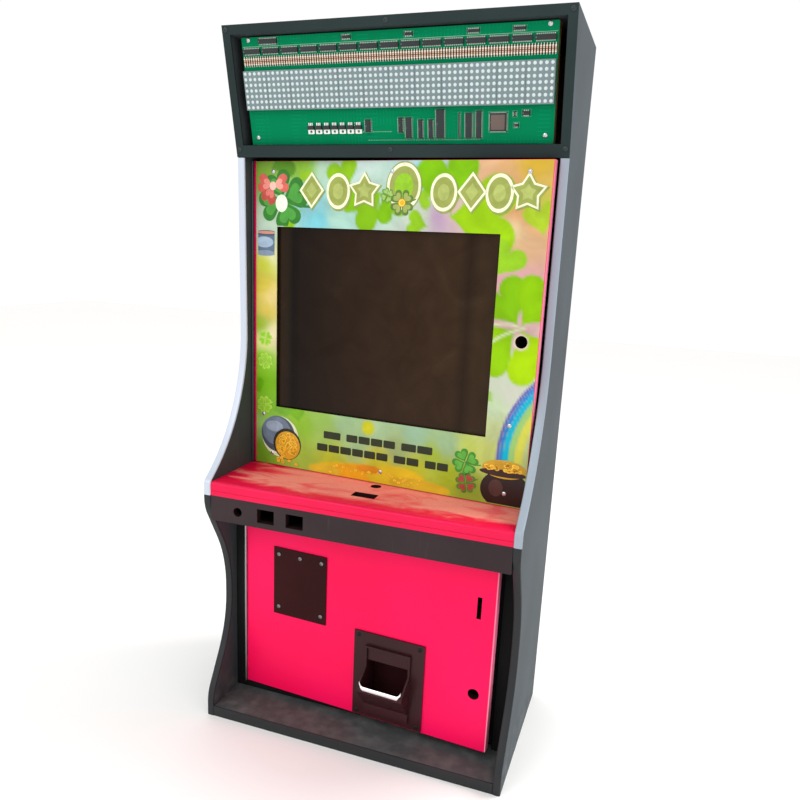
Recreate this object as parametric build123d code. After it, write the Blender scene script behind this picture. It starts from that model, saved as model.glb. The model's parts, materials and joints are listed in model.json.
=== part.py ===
"""Upright amusement cabinet with a lamp-matrix topper, two hinged front doors and a payout cup.

Frame: millimetres, +Z up, front faces -Y, origin on the floor at the centre of the footprint.
Front-to-back places are written as setbacks, measured backwards from the front plane of the cabinet.
"""

from build123d import *
import math
import os

# ---------------------------------------------------------------- overall sizes
WIDTH = 507.0               # outside, over both side panels
DEPTH = 290.0               # front plane to the back edge of the side panels
HEIGHT = 1090.0
BOARD = 12.0                # cabinet board thickness
EDGE = 3.0                  # thickness of the push-on edge moulding
CRISP = 0.5                 # small rounding and seating gaps
RUN = 0.05                  # radial running clearance of a hinge pin

# ---------------------------------------------------------------- side panel outline, setback and height
KICK_SETBACK = 61.0         # how far the alcove under the shelf goes back
KICK_LOW = 40.0             # where the foot starts to sweep back
KICK_LOW_END = 147.0
KICK_HIGH = 267.0
KICK_HIGH_END = 375.0
KICK_CORNER_R = 60.0
KICK_SWEEP_R = 200.0
NOSE_TOP = 418.0            # top of the short vertical nose, level with the shelf
NOSE_R = 12.0
UPRIGHT_SETBACK = 117.0     # front edge beside the screen
SWEEP_CORNER = 509.0        # where nose slope and upright would meet without the big radius
SWEEP_R = 280.0
TOPPER_SETBACK = 109.0      # bottom of the topper face
TOPPER_BOTTOM = 914.0
TOPPER_LEAN = 42.0          # the topper face leans forward by this much at its top
TOPPER_BEND_R = 60.0
BASE_T = 18.0               # floor board

# ---------------------------------------------------------------- topper
FRAME_T = 3.0
OPENING_SIDE = 12.5         # width of the topper frame's stiles
OPENING_BOTTOM = 17.2       # height of its lower rail, along the face
OPENING_TOP = 13.0          # height of its upper rail, along the face
FLOOR_DROP = 17.0           # topper floor's top above the bottom of the topper face
PCB_T = 1.6
PCB_BEHIND = 11.0           # circuit board face behind the topper face
PCB_WIDTH = 459.0
PCB_EDGE_GAP = 2.0          # board to topper floor and top panel
MODULE_COUNT = 12
MODULE_PITCH = 38.1         # 5 x 7 lamp modules, five columns of 7.62 mm each
MODULE_HEIGHT = 53.3
MODULE_T = 8.0
MODULE_GAP = 0.3
MODULE_LOW = 66.3           # lower edge of the lamp modules along the topper face
DRIVER_COUNT = 15
DRIVER_PITCH = 30.48        # eight lamp lines for each driver chip
CHIP_ROW = 145.0            # centre line of the driver chips along the topper face
CHIP_LENGTH = 26.2
CHIP_WIDTH = 7.6
CHIP_T = 4.0
RESISTOR_ROW = 131.6
RESISTOR_LENGTH = 14.0
RESISTOR_T = 2.3
RESISTORS_EACH = 8          # resistors in each bank, one bank per driver chip
TRANSISTOR_COUNT = 7
TRANSISTOR_PITCH = 12.7
TRANSISTOR_X = -127.5       # first transistor
TRANSISTOR_ROW = 39.5
TRANSISTOR = (10.0, 15.5, 4.4)
STANDOFF_R = 3.0
STANDOFF_LENGTH = 10.0
BOARD_HOLE_X = 218.3
BOARD_HOLE_LOW = 27.0
BOARD_HOLE_HIGH = 160.0
RAIL_WIDTH = 20.0
RAIL_T = 15.0

# ---------------------------------------------------------------- hinges
BARREL_R = 2.0
PIN_R = 1.0
LEAF_T = 0.8
LEAF_DEPTH = 15.0
KNUCKLE_COUNT = 13
KNUCKLE_GAP = 0.4

# ---------------------------------------------------------------- screen door
BEZEL_SETBACK = 134.0       # front face of its board when shut
BEZEL_T = 15.0
BEZEL_BOTTOM = 419.5
BEZEL_TOP = 911.0
BEZEL_AJAR = 4.6            # degrees: it has no lock and rests a little open
DOOR_GAP = 3.0              # clearance at the free edge
SCREEN_LEFT = 43.0          # door edge to screen opening
SCREEN_WIDTH = 366.0
SCREEN_BOTTOM = 521.0
SCREEN_HEIGHT = 291.5
ARTWORK_T = 1.2
ARTWORK_MARGIN = 4.0
ARTWORK_SCREW_LEFT = 36.0   # outer screws in from the door's left and right edges
ARTWORK_SCREW_RIGHT = 32.0
ARTWORK_SCREW_LOW = 19.5
ARTWORK_SCREW_HIGH = 15.5
ARTWORK_SIDE_SCREW_LEFT = (18.5, 506.0)
ARTWORK_SIDE_SCREW_Z = 543.0
SURROUND_T = 2.0            # black liner of the screen opening
LOCK_R = 9.0
BEZEL_LOCK_X = 213.5
BEZEL_LOCK_Z = 665.7
GLASS_T = 3.0
GLASS_IN = 5.0              # glass behind the door board's face
GLASS_FIT = 0.3
MONITOR_LAP = 15.0
MONITOR_T = 42.0
BRACKET_T = 2.0
BRACKET_WIDTH = 22.0
BRACKET_FOOT = 18.0
STOP_WIDTH = 13.5
STOP_DEPTH = 20.0

# ---------------------------------------------------------------- shelf and button band
SHELF_T = 22.0
SOFFIT_T = 6.0              # board that closes the space under the shelf from below
SHELF_BACK = 175.0
NOSING_T = 7.0
NOSING_R = 4.9
GROOVE = 1.0                # width and depth of the nosing's groove
FACE_IN = 2.0               # shelf nosing and band sit this far behind the front plane
SLOT_X, SLOT_Y = 38.0, 20.0
SLOT_SETBACK = 53.0
SHELF_HOLE_R = 8.5
SHELF_HOLE_SETBACK = 101.5
BAND_HEIGHT = 41.0
BAND_HOLE_X = -193.0
BAND_HOLE_R = 7.3
WINDOW_X, WINDOW_Z = 29.0, 22.0
WINDOW_PLACES = (-143.7, -94.0)
BAND_MIDDLE = 375.0

# ---------------------------------------------------------------- lower door
DOOR_SETBACK = 75.0
DOOR_T = 15.0
DOOR_LEFT = -218.4
DOOR_BOTTOM = 32.5
DOOR_TOP = 351.5
DOOR_AJAR = 3.6
DOOR_EDGING = 2.0
JAMB_SETBACK = 78.0
JAMB_DEPTH = 22.0
SILL_TOP = 30.0
HEADER_BOTTOM = 340.0
HEADER_TOP = 368.0          # leaves room for a button's neck under the shelf hole
COIN_SLOT_X, COIN_SLOT_Z = 7.0, 35.5
COIN_SLOT_PLACE = (192.0, 271.5)
DOOR_LOCK_PLACE = (192.6, 127.0)
PLATE_T = 2.0
PLATE_X, PLATE_Z = 99.0, 120.0
PLATE_CENTRE = (-114.8, 237.7)
PLATE_SCREW_X = 40.0        # screw rows of the plate from its centre
PLATE_SCREW_LOW = 46.5
PLATE_SCREW_HIGH = 48.0

# ---------------------------------------------------------------- payout cup
CUP_CENTRE_X = 50.3
CUP_WIDTH = 122.0
CUP_LOW = 35.0
CUP_HIGH = 186.0
CUP_FLANGE_T = 3.0
CUP_WALL = 3.0
CUP_BODY_WIDTH = 78.0
CUP_BODY_TOP = 165.0
CUP_BODY_LOW = 46.0
CUP_REACH = 36.0            # lip in front of the door face
CUP_BOSS = 8.0              # rim round hood and bowl, in front of the door face
CUP_RECESS = 4.0            # hood face behind that rim
CUP_HOOD_LOW = 140.0
CUP_CHEEK_TOP = 128.0
CUP_BOWL_LOW = 62.0
CUP_LIP = 107.0
CUP_BEHIND = 30.0           # how far the cup goes back through the door
CUP_RELIEF = 2.0
CUP_SCREW_IN = (8.0, 7.0)   # screws in from the flange's side and end
LIP_T = 1.6
LIP_DROP = 8.0

# ---------------------------------------------------------------- inside and back
BACK_T = 6.0
BACK_IN = 2.0
BATTEN = 15.0
BACK_SPLIT = 396.0
VENT_COUNT = 9
VENT_LENGTH = 150.0
VENT_WIDTH = 5.0
VENT_PITCH = 16.0
VENT_LOW = 800.0
SUPPLY = (100.0, 110.0, 62.0)
SUPPLY_PLACE = (-170.0, 190.0)
CASH = (170.0, 110.0, 85.0)
CASH_WALL = 2.0
CASH_SETBACK = 145.0
GAME_BOARD = (200.0, 140.0)
GAME_BOARD_Z = 190.0
GAME_BOARD_GAP = 10.0
GAME_BOARD_HOLE_IN = 8.0
INLET = (48.0, 27.5)
INLET_PLACE = (150.0, 90.0)
INLET_FLANGE = 3.0
INLET_SOCKET = (24.0, 16.0)
INLET_PIN = (2.0, 4.0)
INLET_PIN_PLACES = ((-7.0, -2.0), (0.0, 3.0), (7.0, -2.0))
SWITCH = (13.0, 21.0)
SWITCH_PLACE = (198.0, 90.0)
INLET_DEPTH = 20.0
SWITCH_PIVOT_IN = 4.0
SWITCH_PIVOT_R = 1.5
SWITCH_REACH = 3.0          # half the rocker's thickness
SWITCH_WALL = 1.5
ROCKER_GAP = (0.5, 1.0)     # rocker to housing at the sides and at the ends
ROCKER_TILT = 9.0

# ---------------------------------------------------------------- screws
PAN_R, PAN_T, SHANK_R = 3.4, 1.8, 1.7
SHANK_FIT = 0.2             # radial room round a screw shank
SCREW_BITE = 10.0

# ---------------------------------------------------------------- worked out from the above
HALF = WIDTH / 2
INNER = HALF - BOARD
LEAN = math.atan2(TOPPER_LEAN, HEIGHT - TOPPER_BOTTOM)
TOPPER_FACE = math.hypot(TOPPER_LEAN, HEIGHT - TOPPER_BOTTOM)
TOPPER_FLOOR_TOP = TOPPER_BOTTOM + FLOOR_DROP
BAND_TOP = NOSE_TOP - SHELF_T
BAND_BOTTOM = BAND_TOP - BAND_HEIGHT
BEZEL_AXIS = (-INNER + BARREL_R, BEZEL_SETBACK - ARTWORK_T - BARREL_R - SHANK_FIT)
BEZEL_LEFT = BEZEL_AXIS[0] + BARREL_R
BEZEL_RIGHT = INNER - DOOR_GAP
DOOR_AXIS = (DOOR_LEFT - BARREL_R, DOOR_SETBACK - BARREL_R - SHANK_FIT)
JAMB_FACE = DOOR_AXIS[0] - BARREL_R
DOOR_RIGHT = -DOOR_LEFT
STOP_RIGHT = DOOR_RIGHT - 2 * DOOR_GAP     # free edge of the door laps the frame by this much
BACK_FACE = DEPTH - BACK_IN
BACK_INSIDE = BACK_FACE - BACK_T


def front_to_y(setback):
    """Turns a setback from the front plane into the Y of the part's frame."""
    return setback - DEPTH / 2


def block(x0, x1, s0, s1, z0, z1):
    """A box given by its two sides, its front and back setbacks and its bottom and top."""
    middle = ((x0 + x1) / 2, front_to_y((s0 + s1) / 2), (z0 + z1) / 2)
    return Pos(*middle) * Box(abs(x1 - x0), abs(s1 - s0), abs(z1 - z0))


def rod_y(x, z, s0, s1, radius):
    """A round rod that runs front to back."""
    return Pos(x, front_to_y((s0 + s1) / 2), z) * Rot(90, 0, 0) * Cylinder(radius, abs(s1 - s0))


def rod_z(x, setback, z0, z1, radius):
    """An upright round rod."""
    return Pos(x, front_to_y(setback), (z0 + z1) / 2) * Cylinder(radius, z1 - z0)


def topper_place(x, up, out):
    """A place on the leaning topper face: sideways, up along it, and out in front of it."""
    foot = Plane(
        origin=(0, front_to_y(TOPPER_SETBACK), TOPPER_BOTTOM),
        x_dir=(1, 0, 0),
        z_dir=(0, -math.cos(LEAN), -math.sin(LEAN)),
    )
    return foot.location * Pos(x, up, out)


def topper_block(x0, x1, up0, up1, out0, out1):
    """A box square to the topper face."""
    place = topper_place((x0 + x1) / 2, (up0 + up1) / 2, (out0 + out1) / 2)
    return place * Box(abs(x1 - x0), abs(up1 - up0), abs(out1 - out0))


def topper_rod(x, up, out0, out1, radius):
    """A rod square to the topper face."""
    return topper_place(x, up, (out0 + out1) / 2) * Cylinder(radius, abs(out1 - out0))


def turned(shape, axis, degrees):
    """Turns a shape about an upright hinge axis given as x and setback."""
    pivot = Pos(axis[0], front_to_y(axis[1]), 0)
    return pivot * Rot(0, 0, degrees) * pivot.inverse() * shape


def save(name, *solids):
    """Writes one named piece, or one group of identical pieces."""
    found = [piece for solid in solids for piece in solid.solids()]
    export_step(Compound(children=found) if len(found) > 1 else found[0], f"parts/{name}.step")


# ---------------------------------------------------------------- side panels and mouldings
def side_outline():
    """The side of the cabinet as a face in the YZ plane: foot, alcove, nose, sweep, upright, topper."""
    front = FilletPolyline(
        (front_to_y(0), 0),
        (front_to_y(0), KICK_LOW),
        (front_to_y(KICK_SETBACK), KICK_LOW_END),
        (front_to_y(KICK_SETBACK), KICK_HIGH),
        (front_to_y(0), KICK_HIGH_END),
        (front_to_y(0), NOSE_TOP),
        (front_to_y(UPRIGHT_SETBACK), SWEEP_CORNER),
        (front_to_y(TOPPER_SETBACK), TOPPER_BOTTOM),
        (front_to_y(TOPPER_SETBACK - TOPPER_LEAN), HEIGHT),
        radius=[
            KICK_CORNER_R, KICK_SWEEP_R, KICK_SWEEP_R, KICK_CORNER_R, NOSE_R, SWEEP_R, TOPPER_BEND_R,
        ],
    )
    rest = Polyline(front @ 1, (front_to_y(DEPTH), HEIGHT), (front_to_y(DEPTH), 0), front @ 0)
    return Plane.YZ * make_face([*front.edges(), *rest.edges()])


def slab(face, x0, x1):
    """The side outline given a thickness between two places across the cabinet."""
    return Pos(x0, 0, 0) * extrude(face, amount=x1 - x0, dir=(1, 0, 0))


def side_parts(face, side):
    """One side panel with its upper trim and lower edging; side is -1 for left and 1 for right."""
    x0, x1 = sorted((side * HALF, side * INNER))
    whole = slab(face, x0, x1)
    board = whole & (Pos(0, EDGE, 0) * whole)
    board -= topper_block(-HALF, HALF, 0, TOPPER_FACE + BOARD, -FRAME_T, BOARD)
    moulding = whole - (Pos(0, EDGE, 0) * whole)
    trim = moulding & block(x0, x1, 0, DEPTH, BAND_TOP, TOPPER_BOTTOM - CRISP)
    trim -= topper_block(-HALF, HALF, -CRISP, TOPPER_FACE, -BOARD, BOARD)
    edging = moulding & block(x0, x1, 0, DEPTH, 0, BAND_TOP)
    for up in topper_screw_heights():
        board -= topper_rod(side * (HALF - BOARD / 2), up, 0, -FRAME_T - SCREW_BITE, SHANK_R + SHANK_FIT)
    return board, trim, edging


def base_parts():
    """The floor board between the side panels and the edging on its front."""
    board = block(-INNER, INNER, EDGE, BACK_INSIDE, 0, BASE_T)
    edging = block(-INNER, INNER, CRISP, EDGE, 0, BASE_T)
    return board, edging


def topper_screw_heights():
    """Heights of the frame screws along the face: centre of the topper floor and of the top panel."""
    rise = math.cos(LEAN)
    return ((FLOOR_DROP - BOARD / 2) / rise, (HEIGHT - BOARD / 2 - TOPPER_BOTTOM) / rise)


def topper_boards():
    """Top panel and topper floor, cut back to the leaning face and drilled for the frame screws."""
    trim_line = topper_block(-HALF, HALF, -TOPPER_FACE, 2 * TOPPER_FACE, -FRAME_T, 2 * TOPPER_SETBACK)
    low, high = topper_screw_heights()
    boards = []
    for top, up in ((HEIGHT, high), (TOPPER_FLOOR_TOP, low)):
        board = block(-INNER, INNER, 0, BACK_INSIDE, top - BOARD, top) - trim_line
        board -= topper_rod(0, up, 0, -FRAME_T - SCREW_BITE, SHANK_R + SHANK_FIT)
        boards.append(board)
    return boards


# ---------------------------------------------------------------- topper frame and lamp board
def topper_screw_places():
    """Six screws: two in each side panel edge, one in the top panel and one in the topper floor."""
    low, high = topper_screw_heights()
    edge = HALF - BOARD / 2
    return [(x, up) for x in (-edge, 0, edge) for up in (low, high)]


def topper_frame():
    """Flat frame over the front of the topper, screwed to the board edges behind it."""
    frame = topper_block(-HALF, HALF, 0, TOPPER_FACE, -FRAME_T, 0)
    frame -= topper_block(
        -HALF + OPENING_SIDE, HALF - OPENING_SIDE, OPENING_BOTTOM, TOPPER_FACE - OPENING_TOP,
        -2 * FRAME_T, FRAME_T,
    )
    for x, up in topper_screw_places():
        frame -= topper_rod(x, up, -2 * FRAME_T, FRAME_T, SHANK_R + SHANK_FIT)
    return frame & block(-HALF, HALF, 0, DEPTH, 0, HEIGHT)


def topper_screw(x, up, under_head, length):
    """A pan head screw square to the topper face, with its head bearing at under_head."""
    head = topper_rod(x, up, under_head, under_head + PAN_T, PAN_R)
    return head + topper_rod(x, up, under_head - length, under_head, SHANK_R)


def board_hole_places():
    """The four fixing holes of the lamp board."""
    return [(x, up) for x in (-BOARD_HOLE_X, BOARD_HOLE_X) for up in (BOARD_HOLE_LOW, BOARD_HOLE_HIGH)]


def board_edges():
    """Lower and upper edge of the lamp board along the face, clear of the boards below and above it."""
    rise, drop = math.cos(LEAN), (PCB_BEHIND + PCB_T) * math.sin(LEAN)
    low = (FLOOR_DROP - PCB_BEHIND * math.sin(LEAN)) / rise + PCB_EDGE_GAP
    high = (HEIGHT - BOARD - TOPPER_BOTTOM - drop) / rise - PCB_EDGE_GAP
    return low, high


def lamp_board():
    """The bare circuit board with its four fixing holes."""
    low, high = board_edges()
    board = topper_block(-PCB_WIDTH / 2, PCB_WIDTH / 2, low, high, -PCB_BEHIND - PCB_T, -PCB_BEHIND)
    for x, up in board_hole_places():
        board -= topper_rod(x, up, -PCB_BEHIND - 2 * PCB_T, -PCB_BEHIND + PCB_T, SHANK_R + SHANK_FIT)
    return board


def on_board(x, up, width, height, thickness):
    """A flat component on the face of the lamp board, by its centre."""
    return topper_block(
        x - width / 2, x + width / 2, up - height / 2, up + height / 2, -PCB_BEHIND, -PCB_BEHIND + thickness
    )


def row_centres(count, pitch):
    """Centres of a row of parts across the board, the row in the middle."""
    return [(index - (count - 1) / 2) * pitch for index in range(count)]


def lamp_modules():
    """Twelve square-cornered lamp modules, side by side."""
    middle = MODULE_LOW + MODULE_HEIGHT / 2
    places = row_centres(MODULE_COUNT, MODULE_PITCH)
    return [on_board(x, middle, MODULE_PITCH - MODULE_GAP, MODULE_HEIGHT, MODULE_T) for x in places]


def driver_chips():
    """Fifteen driver chips in a row above the lamp modules."""
    places = row_centres(DRIVER_COUNT, DRIVER_PITCH)
    return [on_board(x, CHIP_ROW, CHIP_LENGTH, CHIP_WIDTH, CHIP_T) for x in places]


def resistor_banks():
    """A bank of resistors below each driver chip, as one bar per bank."""
    width = DRIVER_PITCH * (1 - 1 / RESISTORS_EACH) + RESISTOR_T
    places = row_centres(DRIVER_COUNT, DRIVER_PITCH)
    return [on_board(x, RESISTOR_ROW, width, RESISTOR_LENGTH, RESISTOR_T) for x in places]


def transistors():
    """Seven flat-mounted power transistors, one for each lamp row."""
    places = [TRANSISTOR_X + index * TRANSISTOR_PITCH for index in range(TRANSISTOR_COUNT)]
    return [on_board(x, TRANSISTOR_ROW, *TRANSISTOR) for x in places]


# centre across, centre up the face, width, height and thickness of the other components
LOGIC_CHIPS = (
    (-186.0, 157.5, 30.0, 9.0, 4.0), (-63.5, 157.5, 14.0, 6.5, 3.0), (28.0, 157.0, 13.0, 6.5, 3.0),
    (118.0, 156.5, 17.0, 6.5, 3.0), (179.0, 156.5, 17.0, 6.5, 3.0), (-36.5, 42.0, 10.5, 17.0, 4.0),
    (13.3, 42.5, 8.5, 20.0, 4.0), (25.3, 38.8, 11.0, 27.0, 4.0), (43.0, 37.0, 8.5, 25.0, 4.0),
    (58.0, 37.0, 8.5, 25.0, 4.0), (72.0, 43.5, 13.6, 37.0, 4.4), (99.5, 41.5, 3.0, 32.0, 6.0),
    (112.8, 41.0, 11.5, 32.0, 4.0), (127.0, 42.0, 9.8, 35.0, 4.0), (154.0, 44.7, 25.5, 25.5, 4.4),
    (176.3, 54.5, 5.2, 6.5, 3.0), (191.7, 55.5, 11.0, 8.0, 2.6), (178.5, 40.5, 7.0, 6.0, 3.4),
)


def logic_chips():
    """Controller, memories, buffers and small parts round the edges of the lamp board."""
    return [on_board(*chip) for chip in LOGIC_CHIPS]


def standoffs():
    """Bored spacers that carry the lamp board on its rails."""
    back = -PCB_BEHIND - PCB_T
    return [
        topper_rod(x, up, back - STANDOFF_LENGTH, back, STANDOFF_R)
        - topper_rod(x, up, back - STANDOFF_LENGTH, back, SHANK_R + SHANK_FIT)
        for x, up in board_hole_places()
    ]


def board_rails():
    """Two battens behind the lamp board, between topper floor and top panel."""
    back = -PCB_BEHIND - PCB_T - STANDOFF_LENGTH
    ends = block(-INNER, INNER, 0, BACK_INSIDE, TOPPER_FLOOR_TOP, HEIGHT - BOARD)
    rails = []
    for x in (-BOARD_HOLE_X, BOARD_HOLE_X):
        rail = topper_block(
            x - RAIL_WIDTH / 2, x + RAIL_WIDTH / 2, -TOPPER_FACE, 2 * TOPPER_FACE, back - RAIL_T, back
        )
        rails.append(rail & ends)
    return rails


# ---------------------------------------------------------------- hinges
def hinge(axis, z0, z1):
    """A continuous hinge in its shut position: cabinet leaf, door leaf and pin.

    Both leaves run straight back from the barrel, the cabinet leaf on the left. Knuckles take turns.
    """
    x, setback = axis
    pitch = (z1 - z0) / KNUCKLE_COUNT
    leaves = []
    for side, first in ((-1, 0), (1, 1)):
        outer, inner = x + side * BARREL_R, x + side * (BARREL_R - LEAF_T)
        leaf = block(outer, inner, setback + BARREL_R + KNUCKLE_GAP, setback + LEAF_DEPTH, z0, z1)
        for index in range(first, KNUCKLE_COUNT, 2):
            low, high = z0 + index * pitch + KNUCKLE_GAP / 2, z0 + (index + 1) * pitch - KNUCKLE_GAP / 2
            leaf += rod_z(x, setback, low, high, BARREL_R)
            leaf += block(outer, inner, setback, setback + BARREL_R + 2 * KNUCKLE_GAP, low, high)
        leaves.append(leaf - rod_z(x, setback, z0, z1, PIN_R + RUN))
    return leaves[0], leaves[1], rod_z(x, setback, z0, z1, PIN_R)


# ---------------------------------------------------------------- screen door, drawn shut
def pan_screw(x, z, face, length):
    """A pan head screw driven straight back from a vertical face."""
    return rod_y(x, z, face - PAN_T, face, PAN_R) + rod_y(x, z, face, face + length, SHANK_R)


def screen_box(lap, s0, s1):
    """A box behind the screen opening, lapping its edges all round."""
    left = BEZEL_LEFT + SCREEN_LEFT
    return block(
        left - lap, left + SCREEN_WIDTH + lap, s0, s1, SCREEN_BOTTOM - lap, SCREEN_BOTTOM + SCREEN_HEIGHT + lap
    )


def artwork_screw_places():
    """Eight screws near the edges of the printed sheet."""
    left, right = BEZEL_LEFT + ARTWORK_SCREW_LEFT, BEZEL_RIGHT - ARTWORK_SCREW_RIGHT
    low, high = BEZEL_BOTTOM + ARTWORK_SCREW_LOW, BEZEL_TOP - ARTWORK_SCREW_HIGH
    rows = [(x, z) for x in (left, (left + right) / 2, right) for z in (low, high)]
    side, side_z = ARTWORK_SIDE_SCREW_LEFT
    return rows + [(BEZEL_LEFT + side, side_z), (right, ARTWORK_SIDE_SCREW_Z)]


def bezel_frame():
    """The painted door board with its screen opening, lock hole and screw holes."""
    board = block(BEZEL_LEFT, BEZEL_RIGHT, BEZEL_SETBACK, BEZEL_SETBACK + BEZEL_T, BEZEL_BOTTOM, BEZEL_TOP)
    board -= screen_box(SURROUND_T, 0, DEPTH)
    board -= rod_y(BEZEL_LOCK_X, BEZEL_LOCK_Z, 0, DEPTH, LOCK_R)
    for x, z in artwork_screw_places():
        board -= rod_y(x, z, BEZEL_SETBACK, BEZEL_SETBACK + SCREW_BITE, SHANK_R + SHANK_FIT)
    return board


def screen_surround():
    """The black liner inside the screen opening, from the board's face back to the glass."""
    back = BEZEL_SETBACK + GLASS_IN
    return screen_box(SURROUND_T, BEZEL_SETBACK, back) - screen_box(0, BEZEL_SETBACK, back)


def artwork_sheet():
    """The clear printed sheet over the door board."""
    sheet = block(
        BEZEL_LEFT + ARTWORK_MARGIN, BEZEL_RIGHT - ARTWORK_MARGIN, BEZEL_SETBACK - ARTWORK_T, BEZEL_SETBACK,
        BEZEL_BOTTOM + CRISP, BEZEL_TOP - CRISP,
    )
    sheet -= screen_box(0, 0, DEPTH)
    sheet -= rod_y(BEZEL_LOCK_X, BEZEL_LOCK_Z, 0, DEPTH, LOCK_R)
    for x, z in artwork_screw_places():
        sheet -= rod_y(x, z, 0, DEPTH, SHANK_R + SHANK_FIT)
    return sheet


def monitor_brackets():
    """Four angle brackets that hold the monitor chassis to the back of the door board."""
    back = BEZEL_SETBACK + BEZEL_T
    left = BEZEL_LEFT + SCREEN_LEFT
    brackets = []
    for side, edge in ((-1, left - MONITOR_LAP), (1, left + SCREEN_WIDTH + MONITOR_LAP)):
        for z in (SCREEN_BOTTOM + SCREEN_HEIGHT / 5, SCREEN_BOTTOM + SCREEN_HEIGHT * 4 / 5):
            low, high = z - BRACKET_WIDTH / 2, z + BRACKET_WIDTH / 2
            wall = block(edge, edge + side * BRACKET_T, back, back + MONITOR_T / 2, low, high)
            brackets.append(wall + block(edge, edge + side * BRACKET_FOOT, back, back + BRACKET_T, low, high))
    return brackets


def screen_door():
    """Every piece of the screen door, shut, by name."""
    back = BEZEL_SETBACK + BEZEL_T
    face = BEZEL_SETBACK - ARTWORK_T
    glass_front = BEZEL_SETBACK + GLASS_IN
    chassis = screen_box(MONITOR_LAP, back, back + MONITOR_T) + screen_box(0, glass_front + GLASS_T, back)
    return {
        "bezel_door_board": [bezel_frame()],
        "bezel_artwork_sheet": [artwork_sheet()],
        "bezel_artwork_screws": [pan_screw(x, z, face, SCREW_BITE) for x, z in artwork_screw_places()],
        "screen_surround": [screen_surround()],
        "screen_glass": [screen_box(SURROUND_T - GLASS_FIT, glass_front, glass_front + GLASS_T)],
        "monitor_chassis": [chassis],
        "monitor_brackets": monitor_brackets(),
    }


def bezel_stops():
    """Battens that the screen door shuts against: one on each side panel and one under the topper floor."""
    front = BEZEL_SETBACK + BEZEL_T + CRISP
    back = front + STOP_DEPTH
    top = TOPPER_FLOOR_TOP - BOARD
    side_inner = INNER - STOP_WIDTH
    uprights = [block(side * INNER, side * side_inner, front, back, NOSE_TOP, top) for side in (-1, 1)]
    return uprights + [block(-side_inner, side_inner, front, back, BEZEL_TOP - STOP_WIDTH, top)]


# ---------------------------------------------------------------- shelf and button band
def shelf_parts():
    """The shelf board with its two cut-outs, and the rounded grooved nosing on its front."""
    front = FACE_IN + NOSING_T
    board = block(-INNER, INNER, front, SHELF_BACK, BAND_TOP, NOSE_TOP)
    board -= block(
        -SLOT_X / 2, SLOT_X / 2, SLOT_SETBACK - SLOT_Y / 2, SLOT_SETBACK + SLOT_Y / 2, BAND_TOP - BOARD,
        NOSE_TOP + BOARD,
    )
    board -= rod_z(0, SHELF_HOLE_SETBACK, BAND_TOP - BOARD, NOSE_TOP + BOARD, SHELF_HOLE_R)
    nosing = block(-INNER, INNER, FACE_IN, front, BAND_TOP, NOSE_TOP)
    long_front = nosing.edges().filter_by(Axis.X).group_by(Axis.Y)[0]
    nosing = fillet(long_front.sort_by(Axis.Z)[-1], NOSING_R)
    groove = BAND_TOP + SHELF_T / 3
    nosing -= block(-INNER, INNER, 0, FACE_IN + GROOVE, groove, groove + GROOVE)
    return board, nosing


def button_band():
    """The band under the shelf, with one round hole and two windows."""
    band = block(-INNER, INNER, FACE_IN, FACE_IN + BOARD, BAND_BOTTOM, BAND_TOP)
    band -= rod_y(BAND_HOLE_X, BAND_MIDDLE, 0, 2 * BOARD, BAND_HOLE_R)
    for x in WINDOW_PLACES:
        band -= block(
            x - WINDOW_X / 2, x + WINDOW_X / 2, 0, 2 * BOARD, BAND_MIDDLE - WINDOW_Z / 2,
            BAND_MIDDLE + WINDOW_Z / 2,
        )
    return band


def shelf_soffit():
    """The board that closes the space under the shelf, from the band back to the door jambs."""
    return block(-INNER, INNER, FACE_IN + BOARD, JAMB_SETBACK, BAND_BOTTOM, BAND_BOTTOM + SOFFIT_T)


# ---------------------------------------------------------------- lower door, drawn shut
def door_frame_parts():
    """Jambs, sill and header round the lower door."""
    back = JAMB_SETBACK + JAMB_DEPTH
    stop = DOOR_SETBACK + DOOR_T + CRISP
    left = block(-INNER, JAMB_FACE, JAMB_SETBACK, back, BASE_T, BAND_TOP)
    right_face = DOOR_RIGHT + DOOR_GAP
    right = block(right_face, INNER, JAMB_SETBACK, back, BASE_T, BAND_TOP)
    right += block(STOP_RIGHT, right_face, stop, back, BASE_T, BAND_TOP)
    sill = block(JAMB_FACE, STOP_RIGHT, JAMB_SETBACK, back, BASE_T, SILL_TOP)
    header = block(JAMB_FACE, STOP_RIGHT, stop, back, HEADER_BOTTOM, HEADER_TOP)
    return left, right, sill, header


def plate_screw_places():
    """Five screws of the blanking plate: three along the top and two along the bottom."""
    x, z = PLATE_CENTRE
    top = [(x + side * PLATE_SCREW_X, z + PLATE_SCREW_HIGH) for side in (-1, 0, 1)]
    return top + [(x + side * PLATE_SCREW_X, z - PLATE_SCREW_LOW) for side in (-1, 1)]


def cup_screw_places():
    """Four screws in the corners of the cup's flange."""
    middle = (CUP_LOW + CUP_HIGH) / 2
    x_half, z_half = CUP_WIDTH / 2 - CUP_SCREW_IN[0], (CUP_HIGH - CUP_LOW) / 2 - CUP_SCREW_IN[1]
    return [(CUP_CENTRE_X + i * x_half, middle + j * z_half) for i in (-1, 1) for j in (-1, 1)]


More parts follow.
